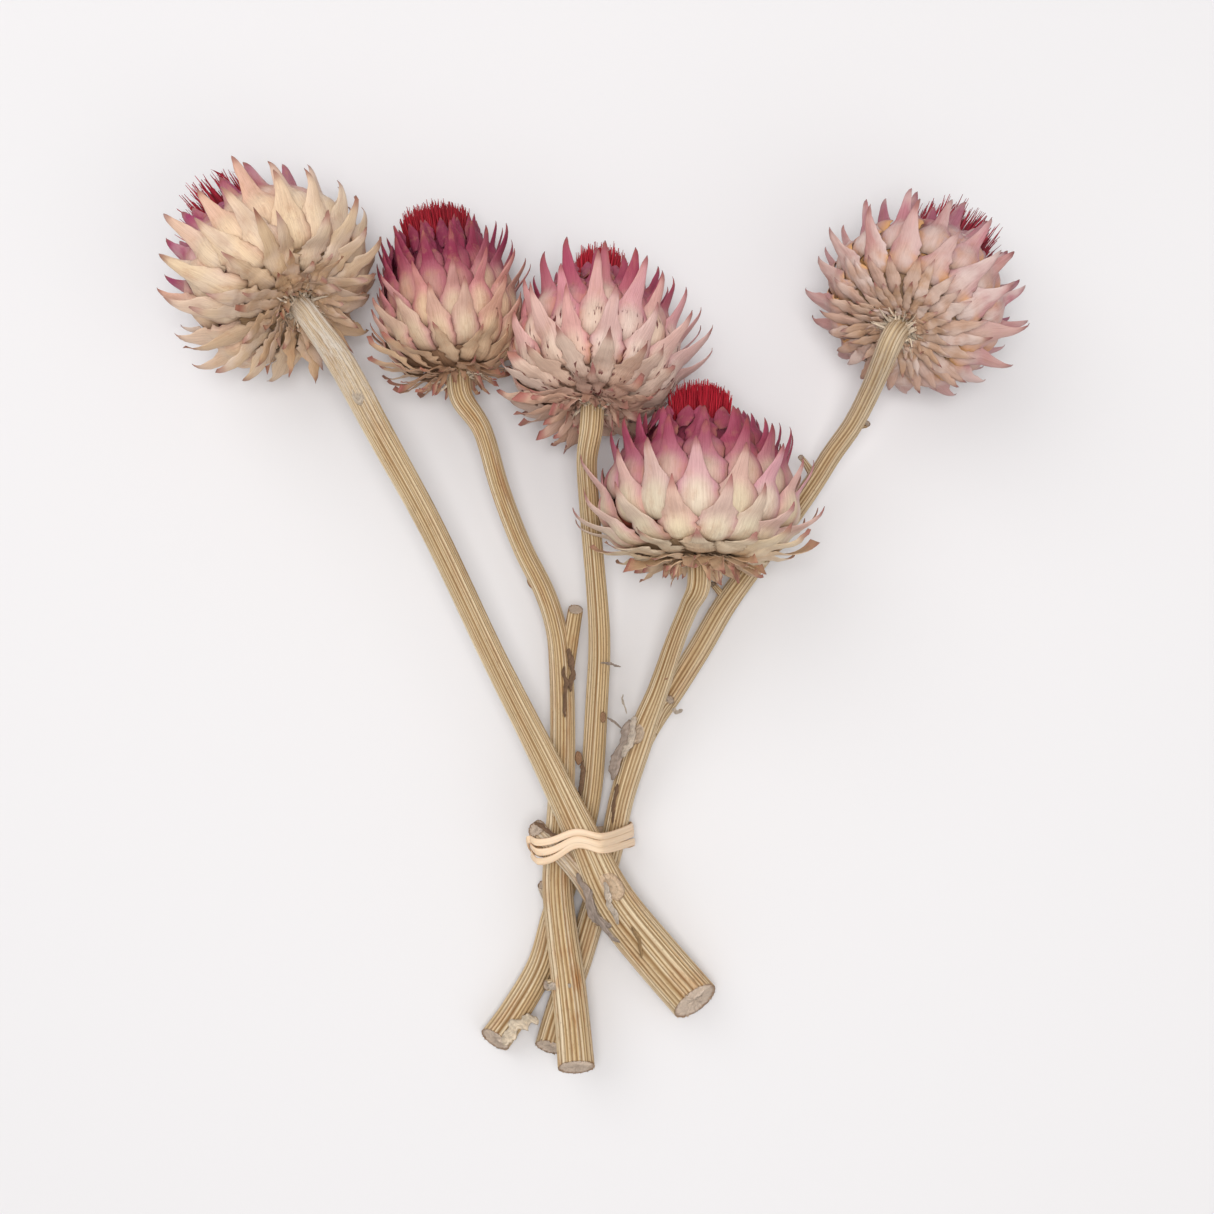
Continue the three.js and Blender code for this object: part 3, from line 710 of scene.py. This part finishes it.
def neck_fibres(head, look):
    """Short shreds of skin where the stem runs into the head."""
    count = look["fibres"]
    around = rng.uniform(0, 2 * np.pi, count)
    out = np.stack([np.cos(around), np.sin(around)], -1)
    reach = rng.uniform(2, 9, (count, 1))
    feet = np.concatenate([out * 5.5, rng.uniform(-5, 0.5, (count, 1))], 1)
    tips = np.concatenate([out * (6.5 + reach), rng.uniform(-7, 3, (count, 1))], 1)
    thick = rng.uniform(0.35, 0.9, count)
    return strands(head.world(feet), head.world(tips), thick, FIBRE, bow=1.6, root_shade=0.9)


# ---- stems
GROOVE = linear(144, 110, 68)
RIDGE = linear(250, 236, 208)
DULL_RIDGE = linear(224, 198, 154)
GREY = linear(206, 192, 176)
PITH = linear(250, 230, 212)
RIM = linear(176, 138, 108)
FIBRE = linear(236, 220, 200)
RIB_UNEVENNESS = [(7, 1.2), (11, 0.8), (17, 0.45)]  # waves round the stem and how strong they are
CUT_FACE = np.array([0.985, 0.93, 0.82, 0.66, 0.46, 0.26, 0.04])
CUT_SINK = np.array([0.1, 0.5, 0.9, 1.1, 1.0, 1.3, 1.8])


def stem_line(route, step=1.6):
    """Evenly spaced centres and radii of a route of (x, y, z, radius) points, and how far along."""
    fine = spline(route, 40 * len(route))
    length = np.concatenate([[0], np.cumsum(np.linalg.norm(np.diff(fine[:, :3], axis=0), axis=1))])
    even = np.linspace(0, length[-1], max(4, int(length[-1] / step)))
    return np.stack([np.interp(even, length, fine[:, k]) for k in range(4)], -1), even


def stem_sides(centre):
    """Unit vectors along a stem, to its right and upwards, at every centre."""
    way = np.gradient(centre, axis=0)
    way /= np.linalg.norm(way, axis=1, keepdims=True)
    right = np.cross(way, [0, 0, 1])
    right /= np.linalg.norm(right, axis=1, keepdims=True)
    return way, right, np.cross(right, way)


def ribbing(own, ribs, angle, along):
    """How high and how dull each point of a stalk's ribs is, from 0 to 1."""
    drift = 0.3 * np.sin(along / 47 + own.uniform(0, 6)) + 0.14 * np.sin(along / 19 + own.uniform(0, 6))
    warp = 0.35 * np.sin(2 * angle + own.uniform(0, 6)) + 0.25 * np.sin(3 * angle + own.uniform(0, 6))
    uneven = sum(size * np.sin(k * angle + own.uniform(0, 6)) for k, size in RIB_UNEVENNESS)
    phase = ribs * angle + warp + uneven * ribs / 30 + drift[:, None] + own.uniform(0, 6)
    rib_of = np.floor(phase / (2 * np.pi)).astype(int) % ribs
    strength = own.uniform(0.7, 1, ribs)[rib_of]
    fine = 0.16 * np.cos(3 * phase + 2 * np.sin(along / 31)[:, None])
    rib = np.clip(0.6 + 0.5 * np.cos(phase) + fine, 0, 1) * strength
    return rib, own.uniform(0, 1, ribs)[rib_of] ** 1.5


def stem_paint(own, seed, angle, along, ribbed, grey, stain):
    """Tint, skin and mark of a stalk's side and, before and after it, its cut faces."""
    rib, dullness = ribbed
    weather = smoothstep(along[-1] - 95, along[-1] - 30, along)[:, None]
    tone = lerp(GROOVE, lerp(RIDGE, DULL_RIDGE, dullness[..., None]), rib[..., None])
    tone = lerp(tone, GREY, (0.5 * grey * weather + 0 * rib)[..., None])
    rough = own.uniform(0.82, 1.04, (len(CUT_FACE), angle.size, 1))
    pith = lerp(PITH, RIM, smoothstep(0.86, 0.98, CUT_FACE)[:, None, None]) * rough
    tint = np.concatenate([pith[::-1], tone, pith])
    face = np.zeros(len(CUT_FACE))
    reach = np.concatenate([face, along, face + along[-1]])[:, None]
    inset = np.concatenate([CUT_FACE[::-1], np.ones(len(along)), CUT_FACE])[:, None]
    skin = stacked(angle * 8 * inset, reach + 30 * (1 - inset), seed * 37.0)
    low_end = 1 - smoothstep(20, 110, reach)
    greys = np.concatenate([face, grey * weather[:, 0], face])[:, None]
    mark = stacked(stain * (0.6 + 0.7 * low_end) * (inset > 0.99), greys, (inset < 0.99) + 0 * angle)
    return dict(tint=tint[None], skin=skin[None], mark=mark[None])


def stem(route, ribs, seed, grey=0.0, stain=0.5, worn_end=0.0, cut_slope=0.58):
    """A ribbed stalk along a route as one lofted body, its lower end cut at a slant that leans back
    cut_slope for each unit up."""
    own = np.random.default_rng(seed)
    line, along = stem_line(route)
    centre, radius = line[:, :3], line[:, 3]
    way, right, up = stem_sides(centre)
    sides = ribs * 6
    angle = circle(sides)[None, :]
    ribbed = ribbing(own, ribs, angle, along)
    fade = 0.8 + 0.2 * np.sin(along / 23 + own.uniform(0, 6))[:, None]
    depth = np.minimum(0.1 * radius, 0.7)[:, None] * fade
    wobble = 0.16 * np.sin(along / 13 + own.uniform(0, 6))[:, None] * np.cos(angle - own.uniform(0, 6))
    surface = radius[:, None] - depth * (1 - ribbed[0]) + wobble - 0.1

    def slope(end, share):
        """How far along the stem from its end the slanted cut lies."""
        return cut_slope * (surface[end] * share * np.sin(angle[0]) + radius[end])

    def cut(end, sign):
        frayed = own.normal(0, 0.5, (len(CUT_FACE), sides))
        frayed = (frayed + np.roll(frayed, 1, 1) + np.roll(frayed, 2, 1)) / 2
        reach = surface[end] * CUT_FACE[:, None]
        inward = np.stack([slope(end, share) for share in CUT_FACE])
        push = sign * (inward + CUT_SINK[:, None] * 0.5 + frayed * (CUT_FACE[:, None] < 0.97) * 0.6)
        ring = centre[end] + way[end] * push[..., None]
        return moved(ring, right[end], reach * np.cos(angle), up[end], reach * np.sin(angle))

    x, y = surface * np.cos(angle), surface * np.sin(angle)
    body = moved(centre[:, None], right[:, None], x, up[:, None], y)
    jag = own.normal(0, 0.35, sides)
    for end, sign, left in ((0, 1, along), (-1, -1, along[-1] - along)):
        if end == -1 and not worn_end:
            continue
        short = np.clip(slope(end, 1)[None] + jag - left[:, None], 0, None)
        short = short * (left[:, None] < 4 * radius[end])
        body = body + sign * way[end] * short[..., None]
    rings = np.concatenate([cut(0, 1)[::-1], body, cut(-1, -1 if worn_end else 0)])
    return loft(rings[None], flip=True, **stem_paint(own, seed, angle, along, ribbed, grey, stain))


def scrap(path, width, tint, seed):
    """A torn strip of bark along a path: thin, ragged and a little curled."""
    own = np.random.default_rng(seed)
    centre = spline(path, 26)
    _, right, up = stem_sides(centre)
    share = np.linspace(0, 1, 26)[:, None]
    around = circle(12)[None, :]
    half = width / 2 * (0.25 + 0.75 * np.sin(np.pi * share) ** 0.5)
    ragged = own.normal(0, 0.4, (26, 2))
    ragged = sum(np.roll(ragged, k, 0) for k in range(4)) / 4
    half = half * (1 + np.where(np.cos(around) > 0, ragged[:, :1], ragged[:, 1:]))
    wander = own.normal(0, 1, (26, 2))
    wander = sum(np.roll(wander, k, 0) for k in range(5)) / 5
    shift = 0.25 * wander[:, :1] * width
    lift = 0.6 * wander[:, 1:] * np.sin(np.pi * share) + 0.4
    curled = (0.5 - 0.12 * width) * np.cos(around) ** 2
    x, y = half * np.cos(around) + shift, 0.35 * np.sin(around) + lift + curled
    rings = moved(centre[:, None], right[:, None], x, up[:, None], y)[None]
    shade = own.uniform(0.72, 1.12, (1, 26, 12, 1))
    skin = stacked(6 * np.cos(around)[None], 20 * share[None], np.full((1, 26, 12), seed * 13.0))
    mark = np.stack([np.zeros((1, 26, 12)), np.zeros((1, 26, 12)), np.ones((1, 26, 12))], -1)
    return loft(rings[:, :, ::-1], tint=tint * shade, skin=skin, mark=mark)


def knot(centre, heading, size, tint):
    """A leaf scar: a raised oval rim round a pale, sunken eye, lying along the stem."""
    share = np.array([1.25, 1.1, 0.95, 0.8, 0.62, 0.45, 0.3, 0.16, 0.03])
    lift = np.array([-0.35, -0.04, 0.08, 0.13, 0.07, 0.01, 0.03, 0.05, 0.04]) * size
    angle = circle(36)[None, :]
    heading = math.radians(heading)
    long = np.array([math.cos(heading), math.sin(heading), 0])
    wide = np.array([-math.sin(heading), math.cos(heading), 0])
    bumpy = 1 + 0.06 * np.sin(2 * angle + size) + 0.03 * np.sin(5 * angle)
    drape = 0.22 * size * (share[:, None] * np.sin(angle)) ** 2
    rings = (
        np.array(centre, float)
        + long * (1.35 * size * share[:, None] * np.cos(angle) * bumpy)[..., None]
        + wide * (0.8 * size * share[:, None] * np.sin(angle) * bumpy)[..., None]
        + UP * (lift[:, None] - drape)[..., None]
    )[None]
    dark = np.array([1, 0.95, 0.9, 1.0, 0.78, 0.9, 1.05, 1.0, 0.8])[None, :, None, None]
    skin = stacked(3 * angle[None], size * share[None, :, None] * 3, np.full((1, 1, 36), size * 17.0))
    mark = np.zeros((1, len(share), 36, 3)) + np.array([0.3, 0, 1])
    return loft(rings, tint=tint * dark + np.zeros(rings.shape), skin=skin, mark=mark)


def neck_route(route, head):
    """A stem's route carried on into its head."""
    centres = [head.base - SHIFT + head.axis * along for along in (-NECK_RUN, 0, NECK_DEPTH)]
    return route + [(*centre, NECK_RADIUS - 1) for centre in centres]


def shifted(points):
    """Design points, with or without a radius, moved to the frame's origin."""
    return [(*(np.array(p[:3]) + SHIFT), *p[3:]) for p in points]


def receptacle(head, look):
    """The swollen end of the stem, inside the lowest bracts."""
    radius, height = head.at(np.linspace(0, head.cup * 0.28, 14), -GAP)
    radius = np.concatenate([[0.5], radius, [radius[-1] * 0.5, 0.5]])
    height = np.concatenate([[height[0]], height, [height[-1], height[-1]]])
    return lathed(head, radius, height, look["foot"] * 0.8, 8)


# ---- rubber band
BAND_FACE = linear(236, 210, 180)
# Colour of the painted shade along the band's edges, where its turns lie side by side.
BAND_EDGE_SHADE = linear(212, 180, 148)


def held_sections(lines, centre, across, along):
    """The stems' sections near the band, as [across, up, radius]."""
    held = []
    for line in lines:
        from_centre = line[:, :3] - centre
        near = np.abs(from_centre @ along) < BAND_REACH
        for point, radius in zip(from_centre[near], line[near, 3]):
            held.append((point @ across, point[2], radius))
    return np.array(held)


def tight_path(held, out):
    """Where a tight loop round the held sections lies in each outward direction."""
    reach = (held[None, :, 0] * out[:, :1] + held[None, :, 1] * out[:, 1:]) + held[None, :, 2]
    best = held[np.argmax(reach, 1)]
    path = best[:, :2] + best[:, 2:] * out
    keep = BAND_SMOOTHING
    kernel = np.hanning(keep) / np.hanning(keep).sum()
    padded = np.concatenate([path[-keep:], path, path[:keep]])
    return np.stack([np.convolve(column, kernel, "same")[keep:-keep] for column in padded.T], -1)


def rubber_band(lines):
    """Three turns of flat band drawn tight round the stems and bowed over the thick one, with the
    last turn crossing back to the first."""
    tilt = math.radians(BAND_TILT)
    across = np.array([math.cos(tilt), math.sin(tilt), 0])
    along = np.array([-math.sin(tilt), math.cos(tilt), 0])
    centre = np.array([0, BAND_CENTRE_Y, 0]) + SHIFT
    turn = np.linspace(0, 2 * np.pi * BAND_TURNS, BAND_STEPS, endpoint=False)
    angle = turn + math.radians(BAND_START)
    out = np.stack([np.cos(angle), np.sin(angle)], -1)
    path = tight_path(held_sections(lines, centre, across, along), out)
    back = np.clip((turn - (turn[-1] - BAND_RETURN)) / BAND_RETURN, 0, 1)
    stay = 1 - smoothstep(0, 1, back)
    over = np.clip(np.sin(angle), 0, 1) ** 2 * stay
    pull = np.exp(-((path[:, 0] - BAND_BOW_AT - 4 * np.sin(turn)) / 10) ** 2)
    lay = BAND_PITCH * (turn / (2 * np.pi) * stay - BAND_TURNS / 2)
    lay = lay + over * pull * (BAND_BOW - 0.2 * turn) - 0.32 * BAND_BOW * over
    lay = lay + 0.7 * np.sin(2 * angle + turn / 5) * stay
    raised = smoothstep(0, 0.12, np.minimum(back, 1 - back))
    twist = 0.16 * np.sin(2.3 * angle + turn * 0.4)[:, None]
    around = circle(20)[None, :]
    wide = BAND_HALF_WIDTH * np.sign(np.cos(around)) * np.abs(np.cos(around)) ** 0.55
    thin = BAND_HALF_THICK * np.sign(np.sin(around)) * np.abs(np.sin(around)) ** 0.7
    off = 1.0 + raised[:, None] * 1.5 + thin * np.cos(twist) + wide * np.sin(twist)
    side = lay[:, None] + wide * np.cos(twist) - thin * np.sin(twist)
    x = path[:, :1] + off * out[:, :1]
    z = path[:, 1:] + off * out[:, 1:]
    points = centre + x[..., None] * across + z[..., None] * UP + side[..., None] * along
    rings = np.concatenate([points, points[:1]])[None]
    # Painted shade: each turn darker towards its edges, where it meets the next turn.
    tint = lerp(BAND_FACE, BAND_EDGE_SHADE, np.abs(np.cos(around))[None, :, :, None] ** 4)
    skin = stacked(wide[None], np.append(turn, turn[-1])[None, :, None] * 9, 0 * around[None])
    part = loft(rings, tint=np.broadcast_to(tint, rings.shape), skin=skin)
    part["caps"] = part["caps"][:0]
    return part


# ---- the bunch
# How a head looks. pinkness to mottle are shares of colour. ragged, broad, base_flare, base_reach
# and crowd change the two lowest rows, slim, flare and reach the others, crown_reach the crown.
# tall, tuft_radius, lean and dome shape the tuft, and fibres counts the shreds at the neck.
PLAIN = dict(
    pinkness=1.0, purple=1.0, flecks=0.0, straw=0.0, grey=0.0, mottle=0.3,
    ragged=1.0, broad=1.0, base_flare=1.0, base_reach=1.0, crowd=1.0,
    slim=1.0, flare=1.0, reach=1.0, crown_reach=1.0,
    tall=2, tuft_radius=16, lean=0.08, dome=0.35, fibres=30,
)
LOOKS = {
    "head_1": dict(
        PLAIN, cream=(232, 208, 176), blush=(212, 162, 148), crown=(160, 62, 102), foot=(188, 154, 120),
        tip=(142, 72, 62), liner=(140, 70, 76), tuft=(168, 30, 52), pinkness=0.74, purple=1.2, grey=0.4,
        mottle=0.45, crown_reach=0.62, tall=9, tuft_radius=20, lean=0.3, dome=0.1, fibres=60,
    ),
    "head_2": dict(
        PLAIN, cream=(220, 194, 162), blush=(202, 134, 138), crown=(140, 46, 76), foot=(178, 140, 112),
        tip=(146, 70, 70), liner=(130, 50, 66), tuft=(160, 26, 42), pinkness=1.12, purple=1.3,
        mottle=0.4, tuft_radius=16.5,
    ),
    "head_3": dict(
        PLAIN, cream=(236, 214, 196), blush=(206, 134, 144), crown=(162, 68, 94), foot=(188, 150, 130),
        tip=(150, 78, 76), liner=(200, 120, 80), tuft=(184, 34, 52), pinkness=1.12, purple=1.2,
        flecks=1.0, straw=0.35, ragged=1.15, broad=1.3, flare=1.25, crown_reach=0.72, tall=7,
        tuft_radius=12, lean=0.12,
    ),
    "head_4": dict(
        PLAIN, cream=(230, 216, 188), blush=(208, 146, 158), crown=(154, 64, 90), foot=(212, 180, 146),
        tip=(150, 76, 76), liner=(170, 90, 70), tuft=(184, 28, 48), pinkness=1.05, purple=1.25,
        straw=0.2, ragged=1.2, broad=1.35, base_flare=0.7, base_reach=0.95, reach=0.88,
        crown_reach=0.82, tall=1, tuft_radius=14.5,
    ),
    "head_5": dict(
        PLAIN, cream=(206, 172, 160), blush=(184, 122, 130), crown=(150, 84, 104), foot=(184, 150, 120),
        tip=(138, 74, 74), liner=(226, 172, 112), tuft=(164, 44, 62), pinkness=1.15, straw=1.0,
        grey=0.7, ragged=0.5, broad=0.75, base_flare=0.35, base_reach=0.85, crowd=1.4, slim=0.85,
        flare=0.95, reach=0.82, crown_reach=0.42, tall=11, tuft_radius=21, lean=0.2, dome=0.1, fibres=80,
    ),
}
for look in LOOKS.values():
    for part in ("cream", "blush", "crown", "foot", "tip", "liner", "tuft"):
        look[part] = linear(*look[part])

# Each stalk: its own route and its shoots, with ribs and what else stem() takes.
STALKS = {
    "stem_1": [
        (neck_route(STEM_1, heads["head_1"]), dict(ribs=32, grey=1.0, stain=0.5, cut_slope=0.8)),
        (STEM_1_SHOOT, dict(ribs=14, grey=0.6, stain=0.9, worn_end=1)),
    ],
    "stem_2": [
        (neck_route(STEM_2, heads["head_2"]), dict(ribs=26, stain=1.0)),
        (STEM_2_FORK, dict(ribs=13, stain=0.9, worn_end=1)),
        (STEM_2_SHOOT, dict(ribs=10, stain=0.8, worn_end=1)),
    ],
    "stem_3": [
        (neck_route(STEM_3, heads["head_3"]), dict(ribs=21, stain=0.35)),
        (STEM_3_SHOOT, dict(ribs=10, grey=1.0, worn_end=1)),
    ],
    "forked_stem": [
        (neck_route(STEM_4, heads["head_4"]), dict(ribs=21, stain=0.5)),
        (STEM_4_SHOOT, dict(ribs=10, worn_end=1)),
        (neck_route(STEM_5, heads["head_5"]), dict(ribs=20, stain=0.4, grey=0.3)),
        *[(shoot, dict(ribs=8, worn_end=1)) for shoot in STEM_5_SHOOTS],
    ],
}
CARRIED = {
    "stem_1": ["head_1"], "stem_2": ["head_2"], "stem_3": ["head_3"], "forked_stem": ["head_4", "head_5"],
}
BARK = linear(176, 160, 150)
BROWN_BARK = linear(138, 110, 88)
PALE_BARK = linear(214, 200, 186)
# Torn bark as (path, width, colour) and leaf scars as (centre, heading, size, colour).
SCRAPS = {
    "stem_1": [
        ([(-14.5, -133, 40), (-10, -145, 42), (-4, -156, 41), (2, -160, 40)], 4.5, BARK),
        ([(-1, -137, 43), (1, -148, 44), (6, -158, 42)], 3.4, PALE_BARK),
        ([(-8, -141, 42), (-6, -152, 43), (1, -164, 41), (6, -168, 40)], 3.0, BARK),
        ([(12, -160, 39), (16, -168, 37), (17, -176, 36)], 1.8, linear(176, 144, 104)),
        ([(-22, -118, 41), (-29, -112, 41.5), (-36, -107, 42)], 3.0, BROWN_BARK),
    ],
    "stem_2": [
        ([(-19.5, -21, 25), (-17.5, -31, 25), (-18.5, -43, 24)], 3.4, BROWN_BARK),
        ([(-22, -30, 25), (-21, -42, 24.5), (-21.5, -56, 24)], 2.2, BROWN_BARK),
        ([(-30, -191, 29), (-24, -191.5, 31), (-18, -190, 34)], 4.0, PALE_BARK),
    ],
    "stem_3": [
        ([(-36, -209, 17), (-45, -214, 17.5), (-54, -222, 17.5)], 7.0, linear(232, 216, 194)),
        ([(-3, -28, 29), (2, -29, 30), (7, -30, 30)], 1.4, BARK),
        ([(-12, -78, 21), (-13, -88, 20), (-14, -97, 19)], 2.4, BROWN_BARK),
        ([(-30, -141, 13), (-31, -151, 14), (-31, -163, 13)], 3.0, BARK),
    ],
    "forked_stem": [
        ([(12, -57, 28), (9, -67, 27), (5, -79, 23), (3, -88, 20)], 5.5, BARK),
        ([(14, -55, 29), (12, -66, 28), (8, -76, 25)], 4.0, PALE_BARK),
        ([(8, -62, 25), (3, -58, 25), (0, -56, 25)], 1.2, BARK),
        ([(10, -54, 27), (8, -48, 27), (8, -44, 28)], 1.0, PALE_BARK),
        ([(5, -90, 20), (4, -103, 18), (3, -112, 17)], 2.6, BROWN_BARK),
        ([(33, -52, 25), (36, -53, 25), (38, -52, 24)], 2.4, PALE_BARK),
        ([(79, 31, 20), (86, 42, 20), (92, 50, 21)], 1.6, PALE_BARK),
    ],
}
KNOTS = {
    "stem_1": [((2, -139.5, 42.5), 125, 5.2, linear(222, 196, 168)), ((-121, 103, 73.5), 115, 3.2, GREY)],
    "stem_2": [((-38.4, 13, 26), 110, 2.2, RIM)],
    "stem_3": [((-14.5, -77, 20), 95, 2.0, RIM), ((-2, -56, 24), 90, 1.6, RIM)],
    "forked_stem": [((16, -64, 27.5), 70, 3.6, linear(208, 188, 168)), ((30, -34, 38), 70, 1.6, RIM)],
}

# A name for each row of bracts, outermost first; build_head pairs them with the rows but uses none of them.
SLOTS = ["bract_base"] * 2 + ["bract_belly"] * 3 + ["bract_crown"] * 2


def stem_lines(step):
    """Centres and radii of every stalk and shoot, step millimetres apart."""
    return [stem_line(shifted(route), step)[0] for routes in STALKS.values() for route, _ in routes]


def build_stems():
    """The stems with their torn bark, scars and receptacles, and the shreds where they meet the heads."""
    skin = stem_material()
    seeds = iter(range(1, 200))
    for name, routes in STALKS.items():
        parts = [stem(shifted(route), seed=next(seeds), **kind) for route, kind in routes]
        parts += [scrap(shifted(path), width, tint, next(seeds)) for path, width, tint in SCRAPS[name]]
        parts += [knot(np.array(at) + SHIFT, turn, size, tint) for at, turn, size, tint in KNOTS[name]]
        parts += [receptacle(heads[head], LOOKS[head]) for head in CARRIED[name]]
        parts += [neck_fibres(heads[head], LOOKS[head]) for head in CARRIED[name]]
        build(name + "_look", parts, skin, [name])


def build_head(name, stems, bristle):
    """A head's rows of bracts, each its own piece, and its florets."""
    head, look = heads[name], LOOKS[name]
    others = [other for other in heads.values() if other is not head]
    papery = bract_material("bract_" + name, look["mottle"])
    for row, slot in zip(ROWS, SLOTS):
        rows = [row]
        if row is ROWS[0]:
            rows += NECK_WHORLS
        if row is ROWS[-1]:
            rows.append(INNER_WHORL)
        node = f"{name}_bract_row_{row['start'] + 1}"
        parts = [bract_row(head, each, others, stems, look) for each in rows]
        build(node + "_look", parts, papery, [node])
    parts = [core_of_florets(head, look), tuft(head, look)]
    build(f"{name}_florets_look", parts, bristle, [f"{name}_florets"])


# ---- floor, light and camera
CAMERA_HEIGHT = 1100
VIEW_LEVEL = 40  # the height above the table at which the view is VIEW_WIDTH wide
VIEW_WIDTH = 607


def floor():
    """A wide matt floor just under the bunch."""
    bpy.ops.mesh.primitive_plane_add(size=80, location=(0, 0, -0.0002))
    plane = bpy.context.object
    plane.name = "floor"
    shader = Shader("pale_floor", 0.85, Specular_IOR_Level=0.2)
    shader.bsdf.inputs["Base Color"].default_value = (0.765, 0.752, 0.757, 1)
    plane.data.materials.append(shader.material)


def area_light(name, place, size, power, colour=(1, 1, 1)):
    """A round lamp that faces the middle of the floor."""
    light = bpy.data.lights.new(name, "AREA")
    light.shape = "DISK"
    light.size = size
    light.energy = power
    light.color = colour
    lamp = bpy.data.objects.new(name, light)
    lamp.location = place
    lamp.rotation_euler = (Vector() - Vector(place)).to_track_quat("-Z", "Y").to_euler()
    bpy.context.scene.collection.objects.link(lamp)


def studio():
    """A pale floor under a soft key lamp, a weaker fill, a lamp overhead and an even surround."""
    floor()
    area_light("key", (-1.0, 1.1, 1.8), 1.9, 15)
    area_light("fill", (1.2, -0.8, 1.7), 1.8, 6, (1, 0.985, 0.97))
    area_light("top", (0, 0, 2.4), 0.9, 30)
    world = bpy.data.worlds.new("studio")
    world.use_nodes = True
    surround = world.node_tree.nodes["Background"]
    surround.inputs["Color"].default_value = (1, 0.985, 0.985, 1)
    surround.inputs["Strength"].default_value = 0.44
    bpy.context.scene.world = world
    bpy.context.scene.view_settings.view_transform = "Standard"


def overhead_camera():
    """A camera straight above the design's origin, looking down with the flowers at the top."""
    lens = bpy.data.cameras.new("camera")
    lens.sensor_width = 36
    lens.lens = lens.sensor_width * (CAMERA_HEIGHT - VIEW_LEVEL) / VIEW_WIDTH
    lens.clip_end = 20
    camera = bpy.data.objects.new("camera", lens)
    camera.location = (SHIFT[0] * MM, SHIFT[1] * MM, (CAMERA_HEIGHT + SHIFT[2]) * MM)
    bpy.context.scene.collection.objects.link(camera)
    bpy.context.scene.camera = camera


build_stems()
obstacles = [(line[:, :3], line[:, 3]) for line in stem_lines(3)]
bristle = strand_material("floret_bristle")
for name in heads:
    build_head(name, obstacles, bristle)
build("rubber_band_look", [rubber_band(stem_lines(1))], band_material(), ["rubber_band"])
studio()
overhead_camera()
